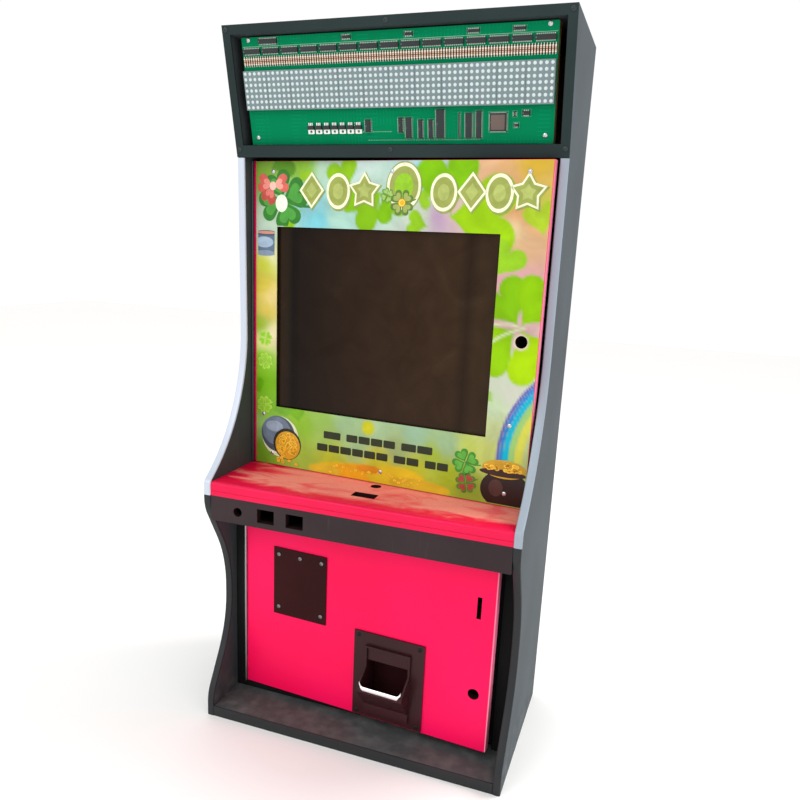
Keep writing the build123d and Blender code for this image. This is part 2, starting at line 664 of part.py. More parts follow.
def door_panel():
    """The painted lower door with its coin slot, lock hole, cup cut-out and screw holes."""
    door = block(
        DOOR_LEFT, DOOR_RIGHT - DOOR_EDGING, DOOR_SETBACK, DOOR_SETBACK + DOOR_T, DOOR_BOTTOM, DOOR_TOP
    )
    x, z = COIN_SLOT_PLACE
    door -= block(x - COIN_SLOT_X / 2, x + COIN_SLOT_X / 2, 0, DEPTH, z - COIN_SLOT_Z / 2, z + COIN_SLOT_Z / 2)
    door -= rod_y(*DOOR_LOCK_PLACE, 0, DEPTH, LOCK_R)
    half = CUP_BODY_WIDTH / 2 + CUP_RELIEF
    door -= block(
        CUP_CENTRE_X - half, CUP_CENTRE_X + half, 0, DEPTH, CUP_BODY_LOW - CUP_RELIEF, CUP_BODY_TOP + CUP_RELIEF
    )
    for x, z in plate_screw_places() + cup_screw_places():
        door -= rod_y(x, z, DOOR_SETBACK, DOOR_SETBACK + SCREW_BITE, SHANK_R + SHANK_FIT)
    return door


def door_edging():
    """The bright edging on the free edge of the lower door."""
    return block(
        DOOR_RIGHT - DOOR_EDGING, DOOR_RIGHT, DOOR_SETBACK, DOOR_SETBACK + DOOR_T, DOOR_BOTTOM, DOOR_TOP
    )


def blanking_plate():
    """A thin plate that closes the note acceptor's place."""
    x, z = PLATE_CENTRE
    plate = block(
        x - PLATE_X / 2, x + PLATE_X / 2, DOOR_SETBACK - PLATE_T, DOOR_SETBACK, z - PLATE_Z / 2, z + PLATE_Z / 2
    )
    for place in plate_screw_places():
        plate -= rod_y(*place, 0, DEPTH, SHANK_R + SHANK_FIT)
    return plate


def cup_section(corners, half):
    """A side shape of (distance in front of the door face, height) corners, given the cup's width."""
    outline = Polyline(*[(front_to_y(DOOR_SETBACK - reach), z) for reach, z in corners], close=True)
    return slab(Plane.YZ * make_face(outline.edges()), CUP_CENTRE_X - half, CUP_CENTRE_X + half)


def payout_cup():
    """The moulded cup: flange, rim, closed hood above, and the bowl that stands out below the mouth."""
    half = CUP_BODY_WIDTH / 2
    chin = CUP_LIP - LIP_DROP
    body = cup_section([
        (-CUP_BEHIND, CUP_BODY_TOP), (CUP_BOSS, CUP_BODY_TOP), (CUP_BOSS, CUP_CHEEK_TOP), (CUP_REACH, CUP_LIP),
        (CUP_REACH, chin), (CUP_BOSS, CUP_BOWL_LOW), (CUP_BOSS, CUP_BODY_LOW), (-CUP_BEHIND, CUP_BODY_LOW),
    ], half)
    back, low, top = CUP_WALL - CUP_BEHIND, CUP_BODY_LOW + CUP_WALL, CUP_BODY_TOP - CUP_WALL
    hood = CUP_BOSS - CUP_RECESS - CUP_WALL
    bowl, boss = CUP_REACH - CUP_WALL, CUP_BOSS - CUP_WALL
    inside = cup_section([
        (back, top), (hood, top), (hood, CUP_HOOD_LOW), (bowl, CUP_HOOD_LOW), (bowl, chin), (boss, CUP_BOWL_LOW),
        (boss, low), (back, low),
    ], half - CUP_WALL)
    left, right = CUP_CENTRE_X - half + CUP_WALL, CUP_CENTRE_X + half - CUP_WALL
    mouth = block(left, right, 0, DOOR_SETBACK, CUP_LIP, CUP_HOOD_LOW)
    recess = block(left, right, 0, DOOR_SETBACK - CUP_BOSS + CUP_RECESS, CUP_HOOD_LOW, CUP_BODY_TOP - CUP_WALL)
    flange = block(
        CUP_CENTRE_X - CUP_WIDTH / 2, CUP_CENTRE_X + CUP_WIDTH / 2, DOOR_SETBACK - CUP_FLANGE_T, DOOR_SETBACK,
        CUP_LOW, CUP_HIGH,
    )
    cup = (flange + body) - inside - mouth - recess
    for place in cup_screw_places():
        cup -= rod_y(*place, 0, DEPTH, SHANK_R + SHANK_FIT)
    return cup


def cup_lip():
    """The bright metal guard folded over the front of the cup's lip."""
    half = CUP_BODY_WIDTH / 2 - CUP_WALL
    front = DOOR_SETBACK - CUP_REACH
    guard = block(
        CUP_CENTRE_X - half, CUP_CENTRE_X + half, front - LIP_T, front, CUP_LIP - LIP_DROP, CUP_LIP + LIP_T
    )
    guard += block(CUP_CENTRE_X - half, CUP_CENTRE_X + half, front, front + CUP_WALL, CUP_LIP, CUP_LIP + LIP_T)
    return guard


def lower_door():
    """Every piece of the lower door, shut, by name."""
    plate_face = DOOR_SETBACK - PLATE_T
    cup_face = DOOR_SETBACK - CUP_FLANGE_T
    return {
        "lower_door_panel": [door_panel()],
        "lower_door_edging": [door_edging()],
        "blanking_plate": [blanking_plate()],
        "blanking_plate_screws": [pan_screw(x, z, plate_face, SCREW_BITE) for x, z in plate_screw_places()],
        "payout_cup": [payout_cup()],
        "payout_cup_screws": [pan_screw(x, z, cup_face, SCREW_BITE) for x, z in cup_screw_places()],
        "payout_cup_lip": [cup_lip()],
    }


# ---------------------------------------------------------------- back and inside
def upper_back():
    """Upper back panel with ventilation slots."""
    panel = block(-INNER, INNER, BACK_INSIDE, BACK_FACE, BACK_SPLIT + CRISP, HEIGHT)
    for index in range(VENT_COUNT):
        z = VENT_LOW + index * VENT_PITCH
        panel -= block(-VENT_LENGTH / 2, VENT_LENGTH / 2, 0, DEPTH, z - VENT_WIDTH / 2, z + VENT_WIDTH / 2)
    return panel


def lower_back():
    """Lower back panel with the cut-outs of the mains inlet and the rocker switch."""
    panel = block(-INNER, INNER, BACK_INSIDE, BACK_FACE, 0, BACK_SPLIT)
    for (x, z), (width, height) in ((INLET_PLACE, INLET), (SWITCH_PLACE, SWITCH)):
        panel -= block(
            x - width / 2 - CRISP, x + width / 2 + CRISP, 0, DEPTH, z - height / 2 - CRISP, z + height / 2 + CRISP
        )
    return panel


def battens():
    """Four upright battens in the corners that the back panels are screwed to."""
    spans = ((BASE_T, BACK_SPLIT), (BACK_SPLIT + CRISP, TOPPER_FLOOR_TOP - BOARD))
    return [
        block(side * INNER, side * (INNER - BATTEN), BACK_INSIDE - BATTEN, BACK_INSIDE, low, high)
        for side in (-1, 1)
        for low, high in spans
    ]


def mains_inlet():
    """A three-pin appliance inlet: flange outside, body inside, with its socket recess and pins."""
    x, z = INLET_PLACE
    width, height = INLET
    body = block(
        x - width / 2, x + width / 2, BACK_INSIDE - INLET_DEPTH, BACK_FACE, z - height / 2, z + height / 2
    )
    flange_x, flange_z = width / 2 + INLET_FLANGE, height / 2 + INLET_FLANGE
    body += block(x - flange_x, x + flange_x, BACK_FACE, BACK_FACE + BACK_IN, z - flange_z, z + flange_z)
    socket_x, socket_z = INLET_SOCKET[0] / 2, INLET_SOCKET[1] / 2
    bottom = BACK_INSIDE - INLET_DEPTH / 2
    body -= block(x - socket_x, x + socket_x, bottom, DEPTH, z - socket_z, z + socket_z)
    pin_x, pin_z = INLET_PIN[0] / 2, INLET_PIN[1] / 2
    for dx, dz in INLET_PIN_PLACES:
        body += block(x + dx - pin_x, x + dx + pin_x, bottom, BACK_FACE, z + dz - pin_z, z + dz + pin_z)
    return body


def switch_parts():
    """The rocker switch: a fixed housing and a rocker on a cross pin."""
    x, z = SWITCH_PLACE
    width, height = SWITCH
    pivot = BACK_FACE - SWITCH_PIVOT_IN
    housing = block(
        x - width / 2, x + width / 2, BACK_INSIDE - INLET_DEPTH, BACK_FACE, z - height / 2, z + height / 2
    )
    well_x, well_z = width / 2 - SWITCH_WALL, height / 2 - SWITCH_WALL
    housing -= block(x - well_x, x + well_x, pivot - 2 * SWITCH_REACH, DEPTH, z - well_z, z + well_z)
    cross = Pos(x, front_to_y(pivot), z) * Rot(0, 90, 0)
    housing += cross * Cylinder(SWITCH_PIVOT_R, width - SWITCH_WALL)
    rocker_x, rocker_z = well_x - ROCKER_GAP[0], well_z - ROCKER_GAP[1]
    rocker = block(
        x - rocker_x, x + rocker_x, pivot - SWITCH_REACH, pivot + SWITCH_REACH, z - rocker_z, z + rocker_z
    )
    rocker -= cross * Cylinder(SWITCH_PIVOT_R + RUN, width)
    pivot_place = Pos(x, front_to_y(pivot), z)
    return housing, pivot_place * Rot(ROCKER_TILT, 0, 0) * pivot_place.inverse() * rocker


def power_supply():
    """A closed metal power supply on the floor board."""
    x, setback = SUPPLY_PLACE
    width, depth, height = SUPPLY
    return block(x - width / 2, x + width / 2, setback - depth / 2, setback + depth / 2, BASE_T, BASE_T + height)


def cash_box():
    """An open metal box behind the payout cup."""
    width, depth, height = CASH
    x0, x1 = CUP_CENTRE_X - width / 2, CUP_CENTRE_X + width / 2
    s0, s1 = CASH_SETBACK, CASH_SETBACK + depth
    box = block(x0, x1, s0, s1, BASE_T, BASE_T + height)
    return box - block(
        x0 + CASH_WALL, x1 - CASH_WALL, s0 + CASH_WALL, s1 - CASH_WALL, BASE_T + CASH_WALL, BASE_T + 2 * height
    )


# centre across, centre up the board, width, height and thickness
GAME_BOARD_PARTS = (
    (-40.0, 95.0, 38.0, 38.0, 14.0), (30.0, 100.0, 50.0, 12.0, 6.0), (30.0, 80.0, 50.0, 12.0, 6.0),
    (-50.0, 35.0, 60.0, 16.0, 12.0), (50.0, 30.0, 28.0, 28.0, 5.0),
)


def game_board_parts():
    """The game's circuit board on four spacers inside the back panel, with its main parts."""
    width, height = GAME_BOARD
    back = BACK_INSIDE - GAME_BOARD_GAP
    low = GAME_BOARD_Z
    board = block(-width / 2, width / 2, back - PCB_T, back, low, low + height)
    hole_x, hole_z = width / 2 - GAME_BOARD_HOLE_IN, height / 2 - GAME_BOARD_HOLE_IN
    corners = [(i * hole_x, low + height / 2 + j * hole_z) for i in (-1, 1) for j in (-1, 1)]
    spacers = [rod_y(x, z, back, BACK_INSIDE, STANDOFF_R) for x, z in corners]
    face = back - PCB_T
    parts = [
        block(x - w / 2, x + w / 2, face - t, face, low + z - h / 2, low + z + h / 2)
        for x, z, w, h, t in GAME_BOARD_PARTS
    ]
    return board, spacers, parts


def main():
    os.makedirs("parts", exist_ok=True)
    face = side_outline()
    for name, side in (("left", -1), ("right", 1)):
        board, trim, edging = side_parts(face, side)
        save(f"side_panel_{name}", board)
        save(f"front_trim_{name}", trim)
        save(f"lower_edging_{name}", edging)
    base, base_edging = base_parts()
    save("base_board", base)
    save("base_edging", base_edging)
    top, floor = topper_boards()
    save("top_panel", top)
    save("topper_floor", floor)
    save("topper_frame", topper_frame())
    save("topper_frame_screws", *[topper_screw(x, up, 0, SCREW_BITE) for x, up in topper_screw_places()])
    save("lamp_board", lamp_board())
    save("lamp_modules", *lamp_modules())
    save("lamp_driver_chips", *driver_chips())
    save("lamp_resistor_banks", *resistor_banks())
    save("lamp_transistors", *transistors())
    save("lamp_logic_chips", *logic_chips())
    save("lamp_board_standoffs", *standoffs())
    save("lamp_board_screws", *[topper_screw(x, up, -PCB_BEHIND, SCREW_BITE) for x, up in board_hole_places()])
    save("lamp_board_rails", *board_rails())

    fixed, moving, pin = hinge(BEZEL_AXIS, BEZEL_BOTTOM, BEZEL_TOP)
    save("bezel_hinge_cabinet_leaf", fixed)
    save("bezel_hinge_pin", pin)
    save("bezel_hinge_door_leaf", turned(moving, BEZEL_AXIS, -BEZEL_AJAR))
    for name, solids in screen_door().items():
        save(name, *[turned(solid, BEZEL_AXIS, -BEZEL_AJAR) for solid in solids])
    save("bezel_stops", *bezel_stops())

    shelf, nosing = shelf_parts()
    save("shelf_board", shelf)
    save("shelf_nosing", nosing)
    save("button_band", button_band())
    save("shelf_soffit", shelf_soffit())

    jamb_left, jamb_right, sill, header = door_frame_parts()
    save("door_jamb_left", jamb_left)
    save("door_jamb_right", jamb_right)
    save("door_sill_header", sill, header)
    fixed, moving, pin = hinge(DOOR_AXIS, DOOR_BOTTOM, DOOR_TOP)
    save("lower_hinge_cabinet_leaf", fixed)
    save("lower_hinge_pin", pin)
    save("lower_hinge_door_leaf", turned(moving, DOOR_AXIS, -DOOR_AJAR))
    for name, solids in lower_door().items():
        save(name, *[turned(solid, DOOR_AXIS, -DOOR_AJAR) for solid in solids])

    save("upper_back_panel", upper_back())
    save("lower_back_panel", lower_back())
    save("back_battens", *battens())
    save("mains_inlet", mains_inlet())
    housing, rocker = switch_parts()
    save("switch_housing", housing)
    save("switch_rocker", rocker)
    save("power_supply", power_supply())
    save("cash_box", cash_box())
    board, spacers, parts = game_board_parts()
    save("game_board", board)
    save("game_board_spacers", *spacers)
    save("game_board_parts", *parts)


main()
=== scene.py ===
# %% [markdown]
# # Upright amusement cabinet
# The CAD model is the frame. Every piece below is put where the CAD says, in one shared frame: metres, +Z up,
# front towards -Y. Shapes are worked out in millimetres, because a cabinet maker's sizes are in millimetres,
# and turned to metres when a mesh is made.

# %% Load the frame
import json
import math

import bmesh
import bpy
import numpy as np
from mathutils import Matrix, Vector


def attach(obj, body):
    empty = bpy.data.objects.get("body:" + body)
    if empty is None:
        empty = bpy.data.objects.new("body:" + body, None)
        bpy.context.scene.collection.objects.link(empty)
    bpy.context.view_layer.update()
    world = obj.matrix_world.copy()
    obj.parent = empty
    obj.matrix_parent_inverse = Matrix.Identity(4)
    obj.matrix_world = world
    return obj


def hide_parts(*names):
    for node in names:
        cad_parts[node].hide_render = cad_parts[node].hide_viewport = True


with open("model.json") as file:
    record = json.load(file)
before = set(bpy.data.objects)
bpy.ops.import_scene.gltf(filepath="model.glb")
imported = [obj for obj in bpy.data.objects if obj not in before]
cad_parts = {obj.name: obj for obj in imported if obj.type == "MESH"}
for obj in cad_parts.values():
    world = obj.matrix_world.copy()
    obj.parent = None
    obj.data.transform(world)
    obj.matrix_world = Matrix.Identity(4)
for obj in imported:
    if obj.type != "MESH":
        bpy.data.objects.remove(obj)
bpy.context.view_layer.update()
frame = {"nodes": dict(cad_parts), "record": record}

# %% [markdown]
# ## Driving sizes
# The same sizes as the CAD, in millimetres. Setbacks are measured backwards from the cabinet's front plane,
# and rows of the lamp board upwards from the topper's lower edge.

# %% Sizes
WIDTH, DEPTH, HEIGHT, BOARD, EDGE = 507.0, 290.0, 1090.0, 12.0, 3.0
HALF = WIDTH / 2
BAND_TOP, TRIM_TOP = 396.0, 913.3
FRONT_CORNERS = (
    (0, 0), (0, 40), (61, 147), (61, 267), (0, 375), (0, 418), (117, 509), (109, 914), (67, HEIGHT))
CORNER_RADII = (60, 200, 200, 60, 12, 280, 60)
TOPPER_SETBACK, TOPPER_BOTTOM, TOPPER_LEAN = 109.0, 914.0, 42.0
LEAN = math.atan2(TOPPER_LEAN, HEIGHT - TOPPER_BOTTOM)
PCB_BEHIND, DOT_PITCH, DOT_COLUMNS, DOT_ROWS = 11.0, 7.62, 60, 7
MODULE_COUNT, MODULE_PITCH, MODULE_LOW, MODULE_HEIGHT, MODULE_T = 12, 38.1, 66.3, 53.3, 8.0
DRIVER_COUNT, DRIVER_PITCH, DRIVER_ROW = 15, 30.48, 145.0
RESISTORS_PER_DRIVER, RESISTOR_ROW = 8, 131.6
BEZEL_AXIS, BEZEL_AJAR, BEZEL_FACE = (-239.5, 130.6), 4.6, 132.8
DOOR_AXIS, DOOR_AJAR, DOOR_FACE = (-220.4, 72.8), 3.6, 75.0
CUP_X = 50.3

# %% [markdown]
# ## Colour and shader nodes
# Paint and print are judged as sRGB hex values, while light adds up in linear values, so one function turns
# one into the other. One small function adds any shader node, sets its settings and joins its sockets.

# %% Colour and node helpers
def linear(code):
    """Linear RGBA of an sRGB hex: c / 12.92 in the darks, else ((c + 0.055) / 1.055) to the power 2.4."""
    c = np.array([int(code[i:i + 2], 16) for i in (0, 2, 4)]) / 255
    return (*np.where(c <= 0.04045, c / 12.92, ((c + 0.055) / 1.055) ** 2.4), 1.0)


def add(material, kind, inputs=None, stops=(), **settings):
    """Adds a node; inputs holds constants or sockets to link, stops are (place, hex) of a colour ramp."""
    tree = material.node_tree
    made = tree.nodes.new(kind)
    for key, value in settings.items():
        setattr(made, key, value)
    for key, value in (inputs or {}).items():
        if isinstance(value, bpy.types.NodeSocket):
            tree.links.new(value, made.inputs[key])
        else:
            made.inputs[key].default_value = value
    for number, (place, code) in enumerate(stops):
        if number >= len(made.color_ramp.elements):
            made.color_ramp.elements.new(place)
        made.color_ramp.elements[number].position = place
        made.color_ramp.elements[number].color = linear(code)
    return made


def finish(name, colour, roughness, **sockets):
    """A material whose surface shader has this colour and roughness, and any other sockets by name."""
    material = bpy.data.materials.new(name)
    material.use_nodes = True
    shader = material.node_tree.nodes["Principled BSDF"]
    shader.inputs["Base Color"].default_value = linear(colour)
    shader.inputs["Roughness"].default_value = roughness
    for key, value in sockets.items():
        shader.inputs[key.replace("_", " ")].default_value = value
    return material, shader


def join(material, source, target, socket):
    """Links an output socket to one of a node's inputs."""
    material.node_tree.links.new(source, target.inputs[socket])


print("helpers ready; mid grey is", round(linear("808080")[0], 3), "in linear light")

# %% [markdown]
# ## Steps that every finish shares
# A finish is a chain of a few steps: take the place on the piece, read a noise there, grade it, and let it
# mix two colours, set the gloss or lift the surface. Each step is one node, so each gets a name of its own.

# %% Steps of a finish
def here(material):
    """The place on the piece, in metres."""
    return add(material, "ShaderNodeTexCoord").outputs["Object"]


def stretched(material, place, scale=(1.0, 1.0, 1.0), turn=(0.0, 0.0, 0.0)):
    """A place scaled and turned, for a pattern drawn out one way."""
    return add(material, "ShaderNodeMapping", {"Vector": place, "Scale": scale, "Rotation": turn}).outputs[0]


def noise(material, place, scale, detail, distortion=0.0):
    """Soft noise from 0 to 1, with this many lumps in a metre."""
    return add(material, "ShaderNodeTexNoise", {"Vector": place, "Scale": scale, "Detail": detail,
                                                "Distortion": distortion}).outputs["Fac"]


def graded(material, value, low, high, to_low=0.0, to_high=1.0):
    """Carries the stretch from low to high onto another, and holds it at both ends."""
    return add(material, "ShaderNodeMapRange", {"Value": value, "From Min": low, "From Max": high,
                                                "To Min": to_low, "To Max": to_high}).outputs[0]


def worked_out(material, operation, first, second, **settings):
    """One sum of two values."""
    return add(material, "ShaderNodeMath", {0: first, 1: second}, operation=operation, **settings).outputs[0]


def ramp(material, value, stops):
    """A colour read off a row of (place, hex) stops."""
    return add(material, "ShaderNodeValToRGB", {"Fac": value}, stops).outputs["Color"]


def mixed(material, amount, under, over):
    """A share of one colour laid over another."""
    return add(material, "ShaderNodeMix", {0: amount, 6: under, 7: over}, data_type="RGBA").outputs[2]


def lifted(material, shader, height, strength, depth):
    """Bumps the surface by a value, as deep as this many metres."""
    bump = add(material, "ShaderNodeBump", {"Height": height, "Strength": strength, "Distance": depth})
    join(material, bump.outputs[0], shader, "Normal")


print("steps ready")

# %% [markdown]
# ## Charcoal laminate
# The side panels, top and band are board faced with a dark grey melamine foil. The foil has a pressed grain
# of about 1.5 mm, a soft sheen, pale scuffs, and dust that gathers near the floor. Grain is a bump from a
# fine noise; cloudiness, scuffs and dust each mix a paler colour in.

# %% Charcoal laminate
def laminate(name, dark, light, dust, dust_height, dustiness, gloss=0.15):
    """Foil-faced board: two greys in clouds, stretched pale scuffs, and dust below a height in metres."""
    material, shader = finish(name, light, 0.5, Specular_IOR_Level=gloss)
    place = here(material)
    base = ramp(material, noise(material, place, 7.0, 6.0), [(0.3, dark), (0.7, light)])
    streak = stretched(material, place, (30.0, 30.0, 4.0))
    scuffed = graded(material, noise(material, streak, 3.0, 8.0), 0.62, 0.85, 0.0, 0.22)
    height = add(material, "ShaderNodeSeparateXYZ", {"Vector": place}).outputs["Z"]
    low = graded(material, height, dust_height, 0.0)
    patch = graded(material, noise(material, place, 45.0, 9.0), 0.42, 0.85, 0.0, dustiness)
    settled = worked_out(material, "MULTIPLY", low, patch)
    worn = worked_out(material, "ADD", settled, scuffed, use_clamp=True)
    join(material, mixed(material, worn, base, linear(dust)), shader, "Base Color")
    join(material, graded(material, worn, 0.0, 1.0, 0.46, 0.8), shader, "Roughness")
    lifted(material, shader, noise(material, place, 650.0, 2.0), 0.18, 0.0004)
    return material


outer_foil = laminate("grey_melamine_foil", "3d454a", "475056", "8f9090", 0.10, 0.8, 0.03)
charcoal = laminate("charcoal_melamine_foil", "383d40", "42484b", "77736e", 0.08, 0.8)
band_foil = laminate("warm_charcoal_melamine_foil", "2e2427", "3a2d30", "6c6260", 0.01, 0.3)
base_foil = laminate("trodden_melamine_foil", "464a4a", "4f5253", "80807e", 0.6, 0.5)
print("laminates:", outer_foil.name, charcoal.name, band_foil.name, base_foil.name)

# %% [markdown]
# ## Paints
# The doors are sprayed in a fluorescent pink lacquer over board: a thin gloss with a slight orange peel of
# about 3 mm. The frame of the topper is powder-coated sheet. The insides are brushed matt black.

# %% Paints
def lacquer(name, deep, bright, roughness, peel, gloss):
    """Sprayed lacquer: two close shades clouded together, gloss from 0 to 1, with an orange-peel bump."""
    material, shader = finish(name, bright, roughness, Specular_IOR_Level=gloss)
    place = here(material)
    shade = ramp(material, noise(material, place, 5.0, 5.0), [(0.32, deep), (0.68, bright)])
    join(material, shade, shader, "Base Color")
    lifted(material, shader, noise(material, place, 330.0, 1.0), peel, 0.0003)
    return material


pink = lacquer("fluorescent_pink_lacquer", "fa0450", "ff0a5c", 0.4, 0.08, 0.16)
# Pale pink: the colour of the lower door's edging, and a painted highlight on the screen door's free edge.
pale_pink_edging_and_rim_highlight = lacquer("pale_pink_edging_and_painted_rim_highlight", "f7759a", "ff93ae", 0.4, 0.05, 0.3)
frame_coat = lacquer("charcoal_powder_coat", "202c2c", "293636", 0.5, 0.35, 0.12)
matt_black = lacquer("brushed_matt_black", "0e0e10", "161617", 0.7, 0.3, 0.15)
gloss_black = lacquer("moulded_black_abs", "301518", "3a1b1e", 0.26, 0.05, 0.2)
plate_black = lacquer("black_sheet_plate", "2e1011", "371516", 0.38, 0.12, 0.06)
# Near-black core for the walls of cut-outs and the shelf's underside: partly the bare core's colour, partly
# painted shade in the holes and under the shelf.
dark_core_and_painted_shade = lacquer("dark_board_core_and_painted_shade", "1c0e0e", "2a1614", 0.8, 0.3, 0.1)
print("paints ready")

# %% [markdown]
# ## Dusty shelf
# Only the shelf lies flat, so only it holds dust: a pale film with bare, redder patches where hands and
# cables rubbed. Facing up is read from the surface normal, so the shelf's front stays clean.

# %% Dusty shelf paint
def dusty(material):
    """Dust on the upward faces of a lacquer: film = facing up x cloud x grit, wiped at the front and left."""
    shader = material.node_tree.nodes["Principled BSDF"]
    under = shader.inputs["Base Color"].links[0].from_socket
    place = here(material)
    up = add(material, "ShaderNodeSeparateXYZ", {0: add(material, "ShaderNodeNewGeometry").outputs["Normal"]})
    facing = graded(material, up.outputs["Z"], 0.75, 0.98)
    coarse = noise(material, stretched(material, place, (1.0, 2.2, 1.0)), 13.0, 9.0, 0.9)
    spot = add(material, "ShaderNodeSeparateXYZ", {0: place})
    wiped = graded(material, spot.outputs["Y"], -0.142, -0.105, -0.32, 0.12)
    left = graded(material, spot.outputs["X"], -0.24, -0.12, -0.26, 0.0)
    where = worked_out(material, "ADD", coarse, wiped)
    where = worked_out(material, "ADD", where, left)
    patch = graded(material, where, 0.4, 0.62)
    grit = graded(material, noise(material, place, 420.0, 4.0), 0.3, 0.6, 0.78, 1.0)
    film = worked_out(material, "MULTIPLY", patch, grit)
    film = worked_out(material, "MULTIPLY", film, facing)
    join(material, mixed(material, film, under, linear("fb9684")), shader, "Base Color")
    join(material, graded(material, film, 0.0, 1.0, 0.4, 0.85), shader, "Roughness")
    return material


shelf_pink = dusty(lacquer("dusty_pink_lacquer", "e8083c", "f81048", 0.45, 0.08, 0.14))
nosing_pink = lacquer("gloss_pink_pvc", "de0642", "ea104e", 0.3, 0.04, 0.2)
print("shelf paints ready")

# %% [markdown]
# ## Push-on mouldings, metals and plastics
# The silver moulding is PVC with an aluminium-coloured skin: satin and slightly lilac. The right one is a
# darker copy of it, which paints shade on that side. Zinc-plated screws, tinned leads and galvanised boxes
# are metals with their own tint and polish. A metal keeps the default IOR.

# %% Mouldings and metals
def worked(name, colour, roughness, grain_mm, strength, **sockets):
    """A plain-coloured finish with a fine surface grain of the given size, which also varies its gloss."""
    material, shader = finish(name, colour, roughness, **sockets)
    grain = noise(material, here(material), 1000.0 / grain_mm, 4.0)
    lifted(material, shader, grain, strength, 0.0003)
    gloss = graded(material, grain, 0.0, 1.0, roughness * 0.8, min(1.0, roughness * 1.25))
    join(material, gloss, shader, "Roughness")
    return material


silver = worked("silver_pvc_moulding", "c6cedc", 0.4, 12.0, 0.05, Metallic=0.2)
# The right moulding's silver, made darker: painted shade.
shaded_silver = worked("painted_shade_silver_pvc_moulding", "98a4b0", 0.45, 12.0, 0.08, Metallic=0.2)
black_edge = worked("charcoal_pvc_moulding", "212426", 0.45, 8.0, 0.1, Specular_IOR_Level=0.3)
zinc = worked("bright_zinc_plate", "cfd2d4", 0.25, 2.0, 0.1, Metallic=1.0)
blacked_steel = worked("blacked_screw_steel", "3d4546", 0.45, 2.0, 0.15, Metallic=0.5)
dull_zinc = worked("dull_zinc_plate", "8d8f92", 0.4, 2.0, 0.15, Metallic=0.9)
tinned = worked("tinned_copper", "eeeeea", 0.38, 1.0, 0.1, Metallic=0.55)
chrome = worked("polished_chrome", "f4f5f6", 0.12, 15.0, 0.02, Metallic=1.0)
hinge_steel = worked("rolled_hinge_steel", "9a9c9e", 0.36, 4.0, 0.15, Metallic=1.0)
galvanised = worked("galvanised_sheet", "a4a8aa", 0.42, 14.0, 0.12, Metallic=1.0)
epoxy = worked("moulded_epoxy_black", "2b3031", 0.6, 0.8, 0.2, Specular_IOR_Level=0.3)
brown_epoxy = worked("heat_browned_epoxy", "62524a", 0.55, 0.8, 0.2)
grey_lens = worked("grey_lamp_housing", "77878a", 0.5, 1.5, 0.1, Specular_IOR_Level=0.3)
lamp_resin = worked("milky_lamp_resin", "cddada", 0.4, 2.0, 0.05, Subsurface_Weight=0.2,
                    Subsurface_Scale=0.001)
black_plastic = worked("moulded_black_nylon", "141213", 0.45, 1.0, 0.2, Specular_IOR_Level=0.3)
print("mouldings and metals ready")

# %% [markdown]
# ## Wood and hardboard
# Battens are sawn softwood with grain along the stick. The back panels are hardboard: pressed brown fibre.

# %% Wood and hardboard
def timber(name, dark, light, stretch, scale):
    """Fibres: a noise stretched along one axis grades two browns and lifts the surface a little."""
    material, shader = finish(name, light, 0.75)
    fibre = noise(material, stretched(material, here(material), stretch), scale, 8.0, 0.4)
    join(material, ramp(material, fibre, [(0.3, dark), (0.7, light)]), shader, "Base Color")
    lifted(material, shader, fibre, 0.3, 0.0005)
    return material


softwood = timber("sawn_softwood", "a9793f", "d2a76b", (12.0, 12.0, 1.0), 14.0)
hardboard = timber("pressed_hardboard", "4c3322", "6b4a32", (1.0, 1.0, 1.0), 160.0)
print("timber ready")

# %% [markdown]
# ## Circuit board
# Glass-fibre board under green solder mask. Copper tracks show through the mask as paler lines about 1 mm
# wide that run straight along and up the board, so the pattern is read in the board's own leaning axes.

# %% Solder mask
def solder_mask(name, lean):
    """Green lacquer; tracks are where stripes across or up the board meet patches of a blocky noise."""
    material, shader = finish(name, "00885c", 0.4, Specular_IOR_Level=0.03)
    square = stretched(material, here(material), turn=(-lean, 0.0, 0.0))
    lines = []
    for direction, stretch in (("X", (1.0, 1.0, 14.0)), ("Z", (14.0, 1.0, 1.0))):
        wave = add(material, "ShaderNodeTexWave", {"Vector": square, "Scale": 62.0, "Distortion": 0.0},
                   bands_direction=direction)
        thin = worked_out(material, "GREATER_THAN", wave.outputs["Fac"], 0.93)
        block = stretched(material, square, stretch)
        patch = add(material, "ShaderNodeTexVoronoi", {"Vector": block, "Scale": 9.0})
        chosen = add(material, "ShaderNodeSeparateColor", {0: patch.outputs["Color"]}).outputs[0]
        where = worked_out(material, "GREATER_THAN", chosen, 0.66)
        lines.append(worked_out(material, "MULTIPLY", thin, where))
    tracks = worked_out(material, "MAXIMUM", *lines)
    join(material, mixed(material, tracks, linear("007d50"), linear("068a5e")), shader, "Base Color")
    lifted(material, shader, tracks, 0.3, 0.00005)
    return material


board_green = solder_mask("leaning_solder_mask", LEAN)
upright_green = solder_mask("upright_solder_mask", 0.0)
print("circuit boards ready")

# %% [markdown]
# ## Screen glass
# A dead monitor behind touch glass: very dark, brownish, with a thin film of finger grease that breaks the
# gloss up. Bands of colour across the glass are painted reflections of the room: paler grey near each side,
# with a darker line inside the left band.

# %% Screen glass
glass, glass_shader = finish("touch_glass_over_dead_screen", "2a1c10", 0.12, Specular_IOR_Level=0.12)
glass_place = here(glass)
grease = noise(glass, glass_place, 16.0, 8.0, 1.2)
join(glass, graded(glass, grease, 0.35, 0.75, 0.1, 0.32), glass_shader, "Roughness")
haze = ramp(glass, grease, [(0.3, "2a1b0f"), (0.8, "35261a")])
sideways = add(glass, "ShaderNodeSeparateXYZ", {0: glass_place}).outputs["X"]
